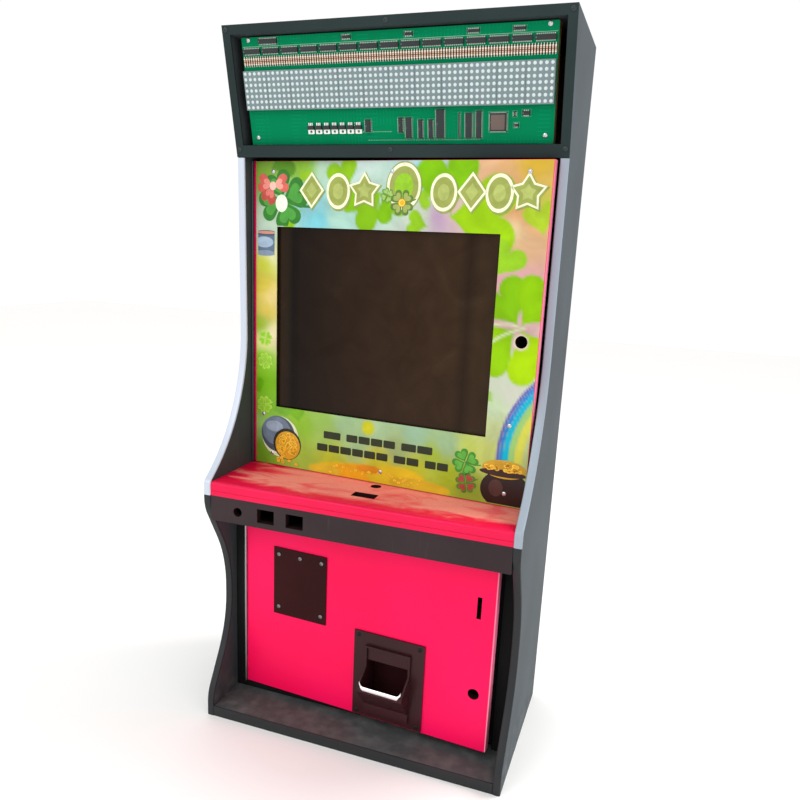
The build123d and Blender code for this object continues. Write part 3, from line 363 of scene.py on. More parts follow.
# Painted reflections: a ramp across the glass, paler grey near both sides with a darker line inside the left
# band, multiplied into the colour.
painted_reflection_bands = ramp(glass, graded(glass, sideways, -0.2, 0.2), [
    (0.0, "9f9f8c"), (0.055, "8d8d7c"), (0.085, "4a453c"), (0.12, "6a6054"), (0.5, "b4aa9c"),
    (0.78, "c8c4b4"), (0.82, "9c9a8c"), (0.86, "c4c4b2"), (1.0, "bcbcaa")])
grease_haze_and_painted_reflections = add(glass, "ShaderNodeMix", {0: 1.0, 6: haze, 7: painted_reflection_bands}, data_type="RGBA", blend_type="MULTIPLY")
gained = add(glass, "ShaderNodeVectorMath", {0: grease_haze_and_painted_reflections.outputs[2], "Scale": 2.1}, operation="SCALE")
join(glass, gained.outputs[0], glass_shader, "Base Color")
print("glass ready")

# %% [markdown]
# ## Tinted finishes
# Print on the sheet and lacquer bands on a resistor are one material each, whose colour is carried by the
# mesh as an attribute named tint. A little noise keeps the ink from being dead flat.

# %% Tinted finishes
def tinted_finish(name, roughness, cloud_mm, amount, **sockets):
    """Colour = the mesh's tint, lightened and darkened by a soft noise of the given size."""
    material, shader = finish(name, "ffffff", roughness, **sockets)
    tint = add(material, "ShaderNodeAttribute", attribute_name="tint").outputs["Color"]
    cloud = noise(material, here(material), 1000.0 / cloud_mm, 6.0, 0.8)
    gain = graded(material, cloud, 0.3, 0.7, 1.0 - amount, 1.0 + amount)
    shade = add(material, "ShaderNodeVectorMath", {0: tint, "Scale": gain}, operation="SCALE")
    join(material, shade.outputs[0], shader, "Base Color")
    return material


sheet_print = tinted_finish("gloss_printed_polyester", 0.25, 60.0, 0.16, Specular_IOR_Level=0.1)
ink = tinted_finish("screen_printed_ink", 0.3, 14.0, 0.14, Specular_IOR_Level=0.25)
fired = tinted_finish("baked_resistor_lacquer", 0.4, 3.0, 0.1)
silkscreen_and_painted_shade = tinted_finish("silkscreen_ink_and_painted_shade", 0.5, 5.0, 0.1)
print("tinted finishes ready")

# %% [markdown]
# ## Surfaces from loops
# Nearly every small part is a stack of closed loops: a chip is rounded rectangles one above another, a screw
# is circles, a moulding is its own section carried along a path. A patch is its points, its faces, its
# material number and its tint; patches are repeated, placed and at last added up into one mesh.

# %% Patches
def loft(levels, slot=0, tint="ffffff"):
    """Quads between loops stacked one above another, with a flat face on the first and the last."""
    n, m = levels.shape[:2]
    index = np.arange(n * m).reshape(n, m)
    ring = np.hstack([index, index[:, :1]])
    sides = np.stack([ring[:-1, :-1], ring[:-1, 1:], ring[1:, 1:], ring[1:, :-1]], -1).reshape(-1, 4)
    return levels.reshape(-1, 3), [sides, index[:1, ::-1], index[-1:]], slot, tint


def rounded_loop(width, height, corner, steps=3):
    """Four quarter circles of the corner radius at the corners of a rectangle, counter-clockwise."""
    turn = np.linspace(0, np.pi / 2, steps)
    angles = (np.arange(4)[:, None] * np.pi / 2 + turn).ravel()
    signs = np.repeat([(1, 1), (-1, 1), (-1, -1), (1, -1)], steps, axis=0)
    centres = signs * [width / 2 - corner, height / 2 - corner]
    return centres + corner * np.stack([np.cos(angles), np.sin(angles)], -1)


def pillow(width, height, depth, corner=0.4, edge=0.3, slot=0, tint="ffffff", steps=3):
    """A moulded block on z = 0: straight sides, then a quarter-round of the edge radius, then a flat top."""
    bend = np.linspace(0, np.pi / 2, steps)
    insets = np.concatenate([[0], edge * (1 - np.cos(bend))])
    heights = np.concatenate([[0], depth - edge + edge * np.sin(bend)])
    loops = [rounded_loop(width - 2 * i, height - 2 * i, max(corner - i, 0.05)) for i in insets]
    tall = np.broadcast_to(heights[:, None, None], (len(heights), len(loops[0]), 1))
    return loft(np.concatenate([np.stack(loops), tall], -1), slot, tint)


def lathe(profile, segments, slot=0, tint="ffffff"):
    """Turns (radius, height) points round z."""
    r, z = np.array(profile, float).T
    a = np.arange(segments) * 2 * np.pi / segments
    x, y = r[:, None] * np.cos(a), r[:, None] * np.sin(a)
    return loft(np.stack([x, y, np.repeat(z[:, None], segments, 1)], -1), slot, tint)


def card(outline, low, high, slot=0, tint="ffffff"):
    """A flat outline given a thickness between two heights."""
    flat = np.asarray(outline, float)
    levels = np.stack([np.column_stack([flat, np.full(len(flat), h)]) for h in (low, high)])
    return loft(levels, slot, tint)


def moved(patch, offset=(0, 0, 0), turn=0.0):
    """The patch turned about z by an angle in radians, then shifted."""
    c, s = math.cos(turn), math.sin(turn)
    spin = np.array([[c, -s, 0], [s, c, 0], [0, 0, 1]])
    return (patch[0] @ spin.T + offset, *patch[1:])


def stood_up(patch):
    """Turns x, y, z into z, x, y, so that a card's thickness runs across and its outline stands."""
    return (patch[0][:, [2, 0, 1]], *patch[1:])


def repeated(patch, offsets):
    """One copy of the patch at each offset, as whole arrays."""
    points, faces, slot, tint = patch
    shift = np.asarray(offsets, float)
    spots = (points[None] + shift[:, None]).reshape(-1, 3)
    step = np.arange(len(shift))[:, None, None] * len(points)
    return spots, [(group[None] + step).reshape(-1, group.shape[1]) for group in faces], slot, tint


print("a moulded block has", len(pillow(10, 10, 3)[0]), "points")

# %% [markdown]
# ## From patches to pieces
# A piece is drawn in its own flat frame: x across, y up, z out of the face. A 4 x 4 matrix puts it on the
# leaning topper, on a door that stands ajar, or upright.

# %% Places and pieces
def face_matrix(origin, up, out):
    """Columns are the directions across, up and out, and the origin, in the cabinet's frame."""
    matrix = np.eye(4)
    matrix[:3, 0], matrix[:3, 1], matrix[:3, 2], matrix[:3, 3] = np.cross(up, out), up, out, origin
    return matrix


def about_hinge(axis, degrees):
    """Turns by an angle about an upright axis given as x and setback."""
    a = math.radians(degrees)
    turn = np.eye(4)
    turn[:2, :2] = [[math.cos(a), -math.sin(a)], [math.sin(a), math.cos(a)]]
    there, back = np.eye(4), np.eye(4)
    there[:3, 3] = (axis[0], axis[1] - DEPTH / 2, 0)
    back[:3, 3] = -there[:3, 3]
    return there @ turn @ back


def door_matrix(axis, ajar, face):
    """An upright face at this setback, opened about its hinge."""
    return about_hinge(axis, -ajar) @ face_matrix((0, face - DEPTH / 2, 0), (0, 0, 1), (0, -1, 0))


TOPPER = face_matrix((0, TOPPER_SETBACK - DEPTH / 2, TOPPER_BOTTOM), (0, -math.sin(LEAN), math.cos(LEAN)),
                     (0, -math.cos(LEAN), -math.sin(LEAN)))
BEZEL = door_matrix(BEZEL_AXIS, BEZEL_AJAR, BEZEL_FACE)
DOOR = door_matrix(DOOR_AXIS, DOOR_AJAR, DOOR_FACE)


def put_in(mesh, body, nodes=()):
    """Makes the finished mesh an object, rides it on its body and lets it stand for its CAD nodes."""
    made = bpy.data.objects.new(mesh.name, mesh)
    bpy.context.scene.collection.objects.link(made)
    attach(made, body)
    if nodes:
        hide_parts(*nodes)
    return made


def piece(name, patches, materials, body, nodes, matrix=np.eye(4), sharp=35.0):
    """Adds patches up into one mesh in metres, rides it on a body and lets it stand for its CAD nodes."""
    points, loops, sizes, slots, tints, shift = [], [], [], [], [], 0
    for spots, faces, slot, tint in patches:
        points.append(spots @ matrix[:3, :3].T + matrix[:3, 3])
        for group in faces:
            loops.append((group + shift).ravel())
            sizes.append(np.full(len(group), group.shape[1]))
            slots.append(np.full(len(group), slot))
            tints.append(np.tile(linear(tint), (group.size, 1)))
        shift += len(spots)
    points, loops, sizes, slots = map(np.concatenate, (points, loops, sizes, slots))
    mesh = bpy.data.meshes.new(name)
    mesh.vertices.add(len(points))
    mesh.vertices.foreach_set("co", (points * 0.001).astype(np.float32).ravel())
    mesh.loops.add(len(loops))
    mesh.loops.foreach_set("vertex_index", loops.astype(np.int32))
    mesh.polygons.add(len(sizes))
    mesh.polygons.foreach_set("loop_start", np.concatenate([[0], np.cumsum(sizes)[:-1]]).astype(np.int32))
    mesh.polygons.foreach_set("material_index", slots.astype(np.int32))
    mesh.polygons.foreach_set("use_smooth", np.ones(len(sizes), bool))
    mesh.update(calc_edges=True)
    colour = mesh.color_attributes.new("tint", "FLOAT_COLOR", "CORNER")
    colour.data.foreach_set("color", np.concatenate(tints).astype(np.float32).ravel())
    mesh.set_sharp_from_angle(angle=math.radians(sharp))
    for material in materials:
        mesh.materials.append(material)
    print(f"{name}: {len(points)} points, {len(sizes)} faces")
    return put_in(mesh, body, nodes)


# %% [markdown]
# ## Boards and sheets with softened edges
# Boards, plates and boxes already have their true shape in the CAD. What they lack is the small rounding
# that sanding, folding or moulding leaves, which catches the light. A merged copy of the CAD mesh gets that
# rounding from a bevel and stands for its node.

# %% Softened copies
BODY_OF = {node: body for body, nodes in frame["record"]["behaviour"]["bodies"].items() for node in nodes}
SHARP = math.radians(35)


def merged(node):
    """The node's triangles with their shared corners merged and flat neighbours joined."""
    work = bmesh.new()
    work.from_mesh(frame["nodes"][node].data)
    bmesh.ops.remove_doubles(work, verts=work.verts, dist=2e-6)
    bmesh.ops.dissolve_limit(work, angle_limit=math.radians(1.0), verts=work.verts, edges=work.edges)
    return work


def own_mesh(work, name):
    """Ends the work on a merged copy: a mesh without the CAD's stored normals and materials."""
    mesh = bpy.data.meshes.new(name)
    work.to_mesh(mesh)
    work.free()
    if "custom_normal" in mesh.attributes:
        mesh.attributes.remove(mesh.attributes["custom_normal"])
    mesh.materials.clear()
    return mesh


def cut_faces(centres, normals):
    """Walls of holes and cut-outs: square to the board's thin direction, and not on its outer edges."""
    low, high = centres.min(0), centres.max(0)
    thin = np.argmin(high - low)
    outside = np.min(np.minimum(centres - low, high - centres) + 1e3 * np.eye(3)[thin], axis=1) < 1.0
    return (np.abs(normals[:, thin]) < 0.5) & ~outside


def outer_faces(centres, normals):
    """Faces on the outside of a side panel."""
    return (np.abs(centres[:, 0]) > HALF - 0.1) & (np.abs(normals[:, 0]) > 0.9)


def painted_highlight_rim(centres, normals):
    """The free edge of the screen door, which gets pale pink as a painted highlight."""
    return (centres[:, 0] > centres[:, 0].max() - 1.0) & (normals[:, 0] > 0.5)


def under_or_cut(centres, normals):
    """The shelf's underside and the walls of its cut-outs."""
    return cut_faces(centres, normals) | (normals[:, 2] < -0.5)


def soften(node, width_mm, material, slot_name, others=(), matrix=np.eye(4), segments=2):
    """A copy of the node with its sharp edges rounded; others are (finish, chooser of faces) pairs."""
    mesh = own_mesh(merged(node), node + "_finished")
    mesh.polygons.foreach_set("use_smooth", np.ones(len(mesh.polygons), bool))
    mesh.set_sharp_from_angle(angle=SHARP)
    mesh.materials.append(material)
    read = np.zeros((2, len(mesh.polygons) * 3), np.float32)
    mesh.polygons.foreach_get("center", read[0])
    mesh.polygons.foreach_get("normal", read[1])
    centres, normals = (part.reshape(-1, 3).astype(float) @ matrix[:3, :3] for part in read)
    centres = centres * 1000 - matrix[:3, 3] @ matrix[:3, :3]
    finishes = np.zeros(len(mesh.polygons), np.int32)
    for number, (other, chosen) in enumerate(others):
        mesh.materials.append(other)
        finishes[chosen(centres, normals)] = number + 1
    mesh.polygons.foreach_set("material_index", finishes)
    made = put_in(mesh, BODY_OF[node], [node])
    rounding = made.modifiers.new("rounding", "BEVEL")
    rounding.width, rounding.segments = width_mm * 0.001, segments
    rounding.limit_method, rounding.angle_limit = "ANGLE", SHARP
    rounding.harden_normals = True


# Rows that give the dark core paint shade on their cut walls, and on the shelf's underside.
BOARDS = (
    ("side_panel_left", 0.5, charcoal, "charcoal_laminate", [(outer_foil, outer_faces)]),
    ("side_panel_right", 0.5, charcoal, "charcoal_laminate", [(outer_foil, outer_faces)]),
    ("top_panel", 0.5, charcoal, "charcoal_laminate"),
    ("topper_floor", 0.5, matt_black, "black_paint"),
    ("base_board", 0.6, base_foil, "charcoal_laminate"),
    ("base_edging", 0.4, black_edge, "black_moulding"),
    ("topper_frame", 0.5, frame_coat, "charcoal_paint"),
    ("button_band", 0.6, band_foil, "charcoal_laminate", [(dark_core_and_painted_shade, cut_faces)]),
    ("door_jamb_left", 0.6, matt_black, "black_paint"),
    ("door_jamb_right", 0.6, matt_black, "black_paint"),
    ("door_sill_header", 0.6, matt_black, "black_paint"),
    ("shelf_soffit", 0.5, matt_black, "black_paint"),
    ("screen_surround", 0.4, matt_black, "black_plastic"),
    ("shelf_board", 0.4, shelf_pink, "pink_paint", [(dark_core_and_painted_shade, under_or_cut)]),
    ("shelf_nosing", 0.3, nosing_pink, "pink_moulding"),
    # The screen door's free edge takes the pale pink as a painted highlight.
    ("bezel_door_board", 0.8, pink, "pink_paint", [(dark_core_and_painted_shade, cut_faces), (pale_pink_edging_and_rim_highlight, painted_highlight_rim)], BEZEL),
    ("lower_door_panel", 0.8, pink, "pink_paint", [(dark_core_and_painted_shade, cut_faces)], DOOR),
    ("lower_door_edging", 0.5, pale_pink_edging_and_rim_highlight, "pink_moulding"),
    ("blanking_plate", 0.5, plate_black, "black_plate"),
    ("screen_glass", 0.5, glass, "screen_glass"),
    ("monitor_chassis", 1.5, galvanised, "monitor_metal"),
    ("monitor_brackets", 0.4, galvanised, "monitor_metal"),
    ("bezel_stops", 0.8, matt_black, "black_paint"),
    ("upper_back_panel", 0.4, hardboard, "back_board", [(dark_core_and_painted_shade, cut_faces)]),
    ("lower_back_panel", 0.4, hardboard, "back_board"),
    ("back_battens", 0.8, softwood, "batten_wood"),
    ("lamp_board_rails", 0.8, softwood, "batten_wood"),
    ("power_supply", 1.2, galvanised, "grey_metal"),
    ("cash_box", 0.5, galvanised, "grey_metal"),
    ("mains_inlet", 0.4, black_plastic, "black_plastic"),
    ("switch_housing", 0.3, black_plastic, "black_plastic"),
    ("switch_rocker", 0.5, black_plastic, "black_plastic"),
    ("game_board", 0.2, upright_green, "circuit_board"),
    ("game_board_parts", 0.5, epoxy, "chip_black"),
    ("lamp_board", 0.2, board_green, "circuit_board"),
)
for row in BOARDS:
    soften(*row)
print("softened copies:", len(BOARDS))

# %% Finishes on the CAD nodes that stay
KEPT = {f"{door}_hinge_{part}": metal for door, metal in (("bezel", blacked_steel), ("lower", hinge_steel))
        for part in ("cabinet_leaf", "door_leaf", "pin")}
KEPT |= {"lamp_board_standoffs": zinc, "game_board_spacers": zinc}
for node, material in KEPT.items():
    for place in frame["nodes"][node].material_slots:
        place.material = material
print("CAD nodes with a finish:", len(KEPT))

# %% [markdown]
# ## Push-on mouldings
# The front edge of each side panel carries a PVC moulding: silver above the shelf, charcoal below. Its
# section is 12 mm wide with rounded shoulders. The path is the cabinet's own front line, a chain of straight
# lines and arcs, so the section is carried up that line.

# %% Front line of the cabinet
def front_line(step=4.0):
    """(setback, height) along the front; a corner's arc of radius r starts r tan(half turn) before it."""
    corners = np.array(FRONT_CORNERS, float)
    path = [corners[0]]
    for before, corner, after, radius in zip(corners, corners[1:], corners[2:], CORNER_RADII):
        into, away = (corner - before), (after - corner)
        into, away = into / np.hypot(*into), away / np.hypot(*away)
        turn = math.atan2(into[0] * away[1] - into[1] * away[0], into @ away)
        start = corner - into * radius * math.tan(abs(turn) / 2)
        side = np.array([-into[1], into[0]]) * math.copysign(1, turn)
        centre = start + side * radius
        t = np.linspace(0, turn, max(8, int(radius * abs(turn) / step)))[:, None]
        arm = start - centre
        path.extend(centre + np.hstack([arm[0] * np.cos(t) - arm[1] * np.sin(t),
                                        arm[0] * np.sin(t) + arm[1] * np.cos(t)]))
    path.append(corners[-1])
    return np.array(path)


def moulding(side, low, high, shoulder=1.6):
    """Section carried up the front line: depth = shoulder - root(shoulder^2 - overshoot^2) near each side."""
    line = front_line()
    heights = np.unique(np.concatenate([[low], line[(line[:, 1] > low) & (line[:, 1] < high), 1], [high]]))
    setback = np.interp(heights, line[:, 1], line[:, 0])
    across = np.linspace(-BOARD / 2, BOARD / 2, 17)
    over = np.clip(np.abs(across) - (BOARD / 2 - shoulder), 0, shoulder)
    depth = shoulder - np.sqrt(shoulder ** 2 - over ** 2) + 0.25 * (2 * across / BOARD) ** 2
    section = np.column_stack([np.concatenate([[BOARD / 2, -BOARD / 2], across]),
                               np.concatenate([[EDGE, EDGE], np.minimum(depth, EDGE)])])
    x = side * (HALF - BOARD / 2) + section[:, 0]
    levels = np.stack(np.broadcast_arrays(x[None], setback[:, None] - DEPTH / 2 + section[None, :, 1],
                                          heights[:, None]), -1)
    return loft(levels)


# The right moulding takes the darker silver, which is painted shade.
for name, side, skin in (("left", -1, silver), ("right", 1, shaded_silver)):
    piece(f"silver_moulding_{name}", [moulding(side, BAND_TOP, TRIM_TOP)], [skin], "cabinet",
          [f"front_trim_{name}"], sharp=50)
    piece(f"charcoal_moulding_{name}", [moulding(side, 0.0, BAND_TOP)], [black_edge], "cabinet",
          [f"lower_edging_{name}"], sharp=50)

# %% [markdown]
# ## Screws
# Pan head screws with a cross recess. Height above the face falls away as the square of the radius; the
# recess is sunk where a point lies inside either arm of the cross.

# %% Screw heads
def screw_head(radius=3.4, height=1.8, tint="ffffff", turn=0.3):
    """height x (1 - 0.55 (r/radius)^2) inside, a rounded rim outside, less 0.9 mm inside the cross."""
    r = radius * np.array([1.0, 1.0, 0.97, 0.9, 0.8, 0.7, 0.6, 0.5, 0.4, 0.3, 0.2, 0.1])
    dome = height * (1 - 0.55 * (r / radius) ** 2)
    dome[:3] = (0.0, 0.18 * height, 0.34 * height)
    a = np.arange(32) * 2 * np.pi / 32
    x, y = r[:, None] * np.cos(a), r[:, None] * np.sin(a)
    arm, reach = 0.16 * radius, 0.62 * radius
    inside = ((np.abs(x) < arm) & (np.abs(y) < reach)) | ((np.abs(y) < arm) & (np.abs(x) < reach))
    z = dome[:, None] - np.where(inside, 0.9, 0.0)
    return moved(loft(np.stack([x, y, z], -1), 0, tint), turn=turn)


def screws(name, places, out, material, body, node, matrix):
    """A screw head at each (x, y), standing on a face at this distance out, each turned its own way."""
    heads = [moved(screw_head(turn=0.7 * number), (x, y, out)) for number, (x, y) in enumerate(places)]
    return piece(name, heads, [material], body, [node], matrix, sharp=50)


frame_places = [(x, up) for x in (-HALF + 6, 0, HALF - 6) for up in (11.3, 174.7)]
screws("topper_frame_screw_heads", frame_places, 0.0, blacked_steel, "cabinet", "topper_frame_screws",
       TOPPER)
board_places = [(x, up) for x in (-218.3, 218.3) for up in (27.0, 160.0)]
screws("lamp_board_screw_heads", board_places, -PCB_BEHIND, zinc, "cabinet", "lamp_board_screws",
       TOPPER)
sheet_places = [(x, z) for x in (-201.5, 2.5, 206.5) for z in (439.0, 895.5)]
sheet_places += [(-219.0, 506.0), (206.5, 543.0)]
screws("sheet_screw_heads", sheet_places, 0.0, zinc, "bezel_door", "bezel_artwork_screws",
       BEZEL)
plate_places = [(x, 285.7) for x in (-154.8, -114.8, -74.8)] + [(x, 191.2) for x in (-154.8, -74.8)]
screws("plate_screw_heads", plate_places, 2.0, dull_zinc, "lower_door", "blanking_plate_screws",
       DOOR)
cup_places = [(CUP_X + across, up) for across in (-53.0, 53.0) for up in (42.0, 179.0)]
screws("cup_screw_heads", cup_places, 3.0, black_plastic, "lower_door", "payout_cup_screws",
       DOOR)

# %% [markdown]
# ## Lamp modules
# Twelve 5 x 7 modules side by side: grey housings with round milky lamps, 7.62 mm apart both ways. Each lamp
# is a low dome with few faces, because there are 420 of them.

# %% Lamp modules
centres = (np.arange(MODULE_COUNT) - (MODULE_COUNT - 1) / 2) * MODULE_PITCH
housing_middle = MODULE_LOW + MODULE_HEIGHT / 2
housing = pillow(MODULE_PITCH - 0.3, MODULE_HEIGHT, MODULE_T, corner=0.3, edge=0.35)
spots = [(x, housing_middle, -PCB_BEHIND) for x in centres]
dome = lathe([(2.4, -0.3), (2.35, 0.0), (2.0, 0.4), (1.1, 0.65), (0.35, 0.7)], 12, slot=1)
columns = (np.arange(DOT_COLUMNS) - (DOT_COLUMNS - 1) / 2) * DOT_PITCH
rows = housing_middle + (np.arange(DOT_ROWS) - (DOT_ROWS - 1) / 2) * DOT_PITCH
grid = np.stack(np.meshgrid(columns, rows, [MODULE_T - PCB_BEHIND], indexing="ij"), -1).reshape(-1, 3)
piece("lamp_matrix", [repeated(housing, spots), repeated(dome, grid)], [grey_lens, lamp_resin], "cabinet",
      ["lamp_modules"], TOPPER)

# %% [markdown]
# ## Chips
# A chip is a black epoxy body, raised a little, with tinned legs that come out at half height and bend down
# to the board, every 2.54 mm. Long chips have legs on their long sides; the square one has them all round.

# %% Chips
def legs(length, reach, pitch, thickness, slot):
    """Legs along a side of this length: an L-shaped strip, out from the body and down to the board."""
    count = int(length // pitch)
    bend = [(0.0, 1.7), (0.0, 1.3), (1.0, 1.3), (1.0, 0.0), (1.4, 0.0), (1.4, 1.7)]
    strip = stood_up(card(bend[::-1], -thickness / 2, thickness / 2, slot))
    return repeated(strip, [((number - (count - 1) / 2) * pitch, reach, 0) for number in range(count)])


LEG_PITCH = 2.54


def chip(x, up, width, height, depth, four_sided=False):
    """Body and legs of one chip, inside its width and height; a square one has legs at half the pitch."""
    pad, pitch = 1.4, LEG_PITCH / 2 if four_sided else LEG_PITCH
    lying = width >= height
    body_w = width - (0 if lying and not four_sided else 2 * pad)
    body_h = height - (2 * pad if lying or four_sided else 0)
    made = [moved(pillow(body_w, body_h, depth - 0.5, 0.3, 0.35), (0, 0, 0.5))]
    made.append(moved(lathe([(0.7, depth - 0.02), (0.65, depth + 0.03)], 10, 2), (-body_w / 2 + 1.6, 0, 0)))
    sides = {"lying": (0, 2), "standing": (1, 3), "square": (0, 1, 2, 3)}
    for quarter in sides["square" if four_sided else "lying" if lying else "standing"]:
        run, reach = (body_w, body_h / 2) if quarter % 2 == 0 else (body_h, body_w / 2)
        row = legs(run - 1, reach, pitch, 0.9 * pitch / LEG_PITCH, 1)
        made.append(moved(row, turn=quarter * math.pi / 2))
    return [moved(patch, (x, up, -PCB_BEHIND)) for patch in made]


LOGIC_CHIPS = (
    (-186.0, 157.5, 30.0, 9.0, 4.0), (-63.5, 157.5, 14.0, 6.5, 3.0), (28.0, 157.0, 13.0, 6.5, 3.0),
    (118.0, 156.5, 17.0, 6.5, 3.0), (179.0, 156.5, 17.0, 6.5, 3.0), (-36.5, 42.0, 10.5, 17.0, 4.0),
    (13.3, 42.5, 8.5, 20.0, 4.0), (25.3, 38.8, 11.0, 27.0, 4.0), (43.0, 37.0, 8.5, 25.0, 4.0),
    (58.0, 37.0, 8.5, 25.0, 4.0), (72.0, 43.5, 13.6, 37.0, 4.4), (99.5, 41.5, 3.0, 32.0, 6.0),
    (112.8, 41.0, 11.5, 32.0, 4.0), (127.0, 42.0, 9.8, 35.0, 4.0), (176.3, 54.5, 5.2, 6.5, 3.0),
    (191.7, 55.5, 11.0, 8.0, 2.6), (178.5, 40.5, 7.0, 6.0, 3.4),
)
SQUARE_CHIP = (154.0, 44.7, 25.5, 25.5, 4.4)
driver_x = (np.arange(DRIVER_COUNT) - (DRIVER_COUNT - 1) / 2) * DRIVER_PITCH
drivers = [patch for x in driver_x for patch in chip(x, DRIVER_ROW, 27.4, 9.4, 4.0)]
piece("driver_chip_row", drivers, [epoxy, tinned, grey_lens], "cabinet", ["lamp_driver_chips"],
      TOPPER)
logic = [patch for row in LOGIC_CHIPS for patch in chip(*row)] + chip(*SQUARE_CHIP, four_sided=True)
square_x, square_up, _, _, square_depth = SQUARE_CHIP
logic.append(moved(pillow(19.0, 19.0, 0.25, 0.4, 0.1, 3), (square_x, square_up, square_depth - PCB_BEHIND)))
piece("logic_chip_group", logic, [epoxy, tinned, grey_lens, brown_epoxy], "cabinet", ["lamp_logic_chips"],
      TOPPER)

# %% [markdown]
# ## Resistors
# 120 axial resistors stand side by side, eight for each driver chip. The body is a dog-bone turned about its
# own length, beige with coloured bands, on a bent wire at each end.

# %% Resistors
def resistor():
    """Rings of radius and place along the body; each stretch between two rings has its own tint."""
    half = [(0.8, 1.05), (1.7, 1.05), (2.6, 1.1), (3.4, 1.3), (4.6, 1.1), (4.8, 0.5)]
    rings = [(-y, r) for y, r in half[::-1]] + half
    beige, tan, brown = "f2e6cf", "c98a6c", "b06a52"
    tints = [beige, beige, beige, tan, beige, brown, beige, tan, beige, beige, beige]
    a = np.arange(8) * 2 * np.pi / 8 + np.pi / 8
    made = []
    for number, tint in enumerate(tints):
        levels = [[(-r * math.cos(t), y, 1.3 + r * math.sin(t)) for t in a]
                  for y, r in rings[number:number + 2]]
        points, (side, start, end), slot, _ = loft(np.array(levels))
        closed = [start] * (number == 0) + [end] * (number == len(tints) - 1)
        made.append((points, [side] + closed, slot, tint))
    wire = [(-4.8, 1.6), (-6.9, 1.6), (-6.9, 0.0), (-6.3, 0.0), (-6.3, 1.0), (-4.8, 1.0)]
    bent = stood_up(card(wire, -0.35, 0.35, 1))
    return made + [bent, moved(bent, turn=math.pi)]


share = DRIVER_PITCH / RESISTORS_PER_DRIVER
resistor_spots = [(x + (number - (RESISTORS_PER_DRIVER - 1) / 2) * share, RESISTOR_ROW, -PCB_BEHIND)
                  for x in driver_x for number in range(RESISTORS_PER_DRIVER)]
piece("resistor_row", [repeated(patch, resistor_spots) for patch in resistor()], [fired, tinned], "cabinet",
      ["lamp_resistor_banks"], TOPPER)

# %% [markdown]
# ## Power transistors
# Seven flat-mounted transistors: a tinned tab with a round hole at the bottom, an epoxy body in the middle,
# and three leads that run up to the board. The tab is the ring between a rectangle and the hole.

# %% Transistors
def tab(width, height, hole, thickness, slot):
    """Walls between an outer rectangle and a round hole, both sampled at the same angles."""
    a = np.arange(24) * 2 * np.pi / 24
    reach = 1 / np.maximum(np.abs(np.cos(a)) / (width / 2), np.abs(np.sin(a)) / (height / 2))
    outer, inner = (np.stack([r * np.cos(a), r * np.sin(a)], -1) for r in (reach, np.full(24, hole)))
    loops = [np.column_stack([flat, np.full(24, h)]) for flat, h in
             ((inner, 0), (outer, 0), (outer, thickness), (inner, thickness), (inner, 0))]
    points, faces, slot, tint = loft(np.stack(loops), slot)
    return points, [faces[0]], slot, tint


def transistor():
    """Tab, body and leads inside 10 x 15.5 mm."""
    made = [moved(tab(10.0, 6.2, 1.9, 1.3, 0), (0, -4.65, 0.4))]
    made.append(moved(pillow(10.0, 5.4, 4.0, 0.3, 0.5, 1), (0, 1.1, 0.4)))
    lead = moved(pillow(1.5, 4.2, 0.6, 0.1, 0.1, 0), (0, 5.7, 2.2))
    return made + [moved(lead, (x, 0, 0)) for x in (-2.54, 0, 2.54)]


transistor_spots = [(-127.5 + number * 12.7, 39.5, -PCB_BEHIND) for number in range(7)]
piece("transistor_row", [repeated(patch, transistor_spots) for patch in transistor()], [tinned, epoxy],
      "cabinet", ["lamp_transistors"], TOPPER)

# %% [markdown]
# ## Legend on the circuit board
# Pale outlines round the parts, rows of bare solder pads, and a dark strip under the resistors that is
# painted shade, the shade that falls between them. Only plain outlines and dots: no lettering.

# %% Board legend
def field(x, up, width, height, corner, thickness, tint):
    """A flat field of ink on the board; the dark strip under the resistors made with it is painted shade."""
    return moved(card(rounded_loop(width, height, corner), 0, thickness, 0, tint), (x, up, -PCB_BEHIND))


def outline_frame(x, up, width, height, line=0.22):
    """Four thin strips round a part."""
    strips = [(x, up - height / 2, width, line), (x, up + height / 2, width, line),
              (x - width / 2, up, line, height), (x + width / 2, up, line, height)]
    return [field(*strip, 0.05, 0.04, "7fc4a4") for strip in strips]


margin_round = 1.4
drawn_marks_and_painted_shade = [strip for x, up, width, height, _ in (*LOGIC_CHIPS, SQUARE_CHIP)
          for strip in outline_frame(x, up, width + margin_round, height + margin_round)]
pad = lathe([(0.55, 0.0), (0.5, 0.1), (0.25, 0.22)], 8, slot=1)
# A dark strip under the resistors: painted shade between them.
drawn_marks_and_painted_shade.append(field(0, RESISTOR_ROW, DOT_COLUMNS * DOT_PITCH - 0.2, 12.4, 0.5, 0.05, "10231c"))
drawn_marks_and_painted_shade += [field(x, DRIVER_ROW + 6.2, 29.6, 0.4, 0.1, 0.05, "a8dcc4") for x in driver_x]
rows_of_pads = [(-128.0, 34.0, 34), (-36.0, 22.5, 44)]
pads = [(x0 + 3.81 * n, up, -PCB_BEHIND) for x0, up, count in rows_of_pads for n in range(count)]
pads += [(-58.0 + 2.54 * n, 33.0 + 3.3 * m, -PCB_BEHIND) for n in range(3) for m in range(5)]
piece("board_silkscreen_and_painted_shade", drawn_marks_and_painted_shade + [repeated(pad, pads)], [silkscreen_and_painted_shade, tinned], "cabinet", [],
      TOPPER)

# %% [markdown]
# ## Payout cup lip
# A bright guard folded over the lip: a rounded strip across the front whose ends turn up and back along the
# cheeks.

# %% Cup and lip
soften("payout_cup", 1.0, gloss_black, "cup_plastic", segments=3)


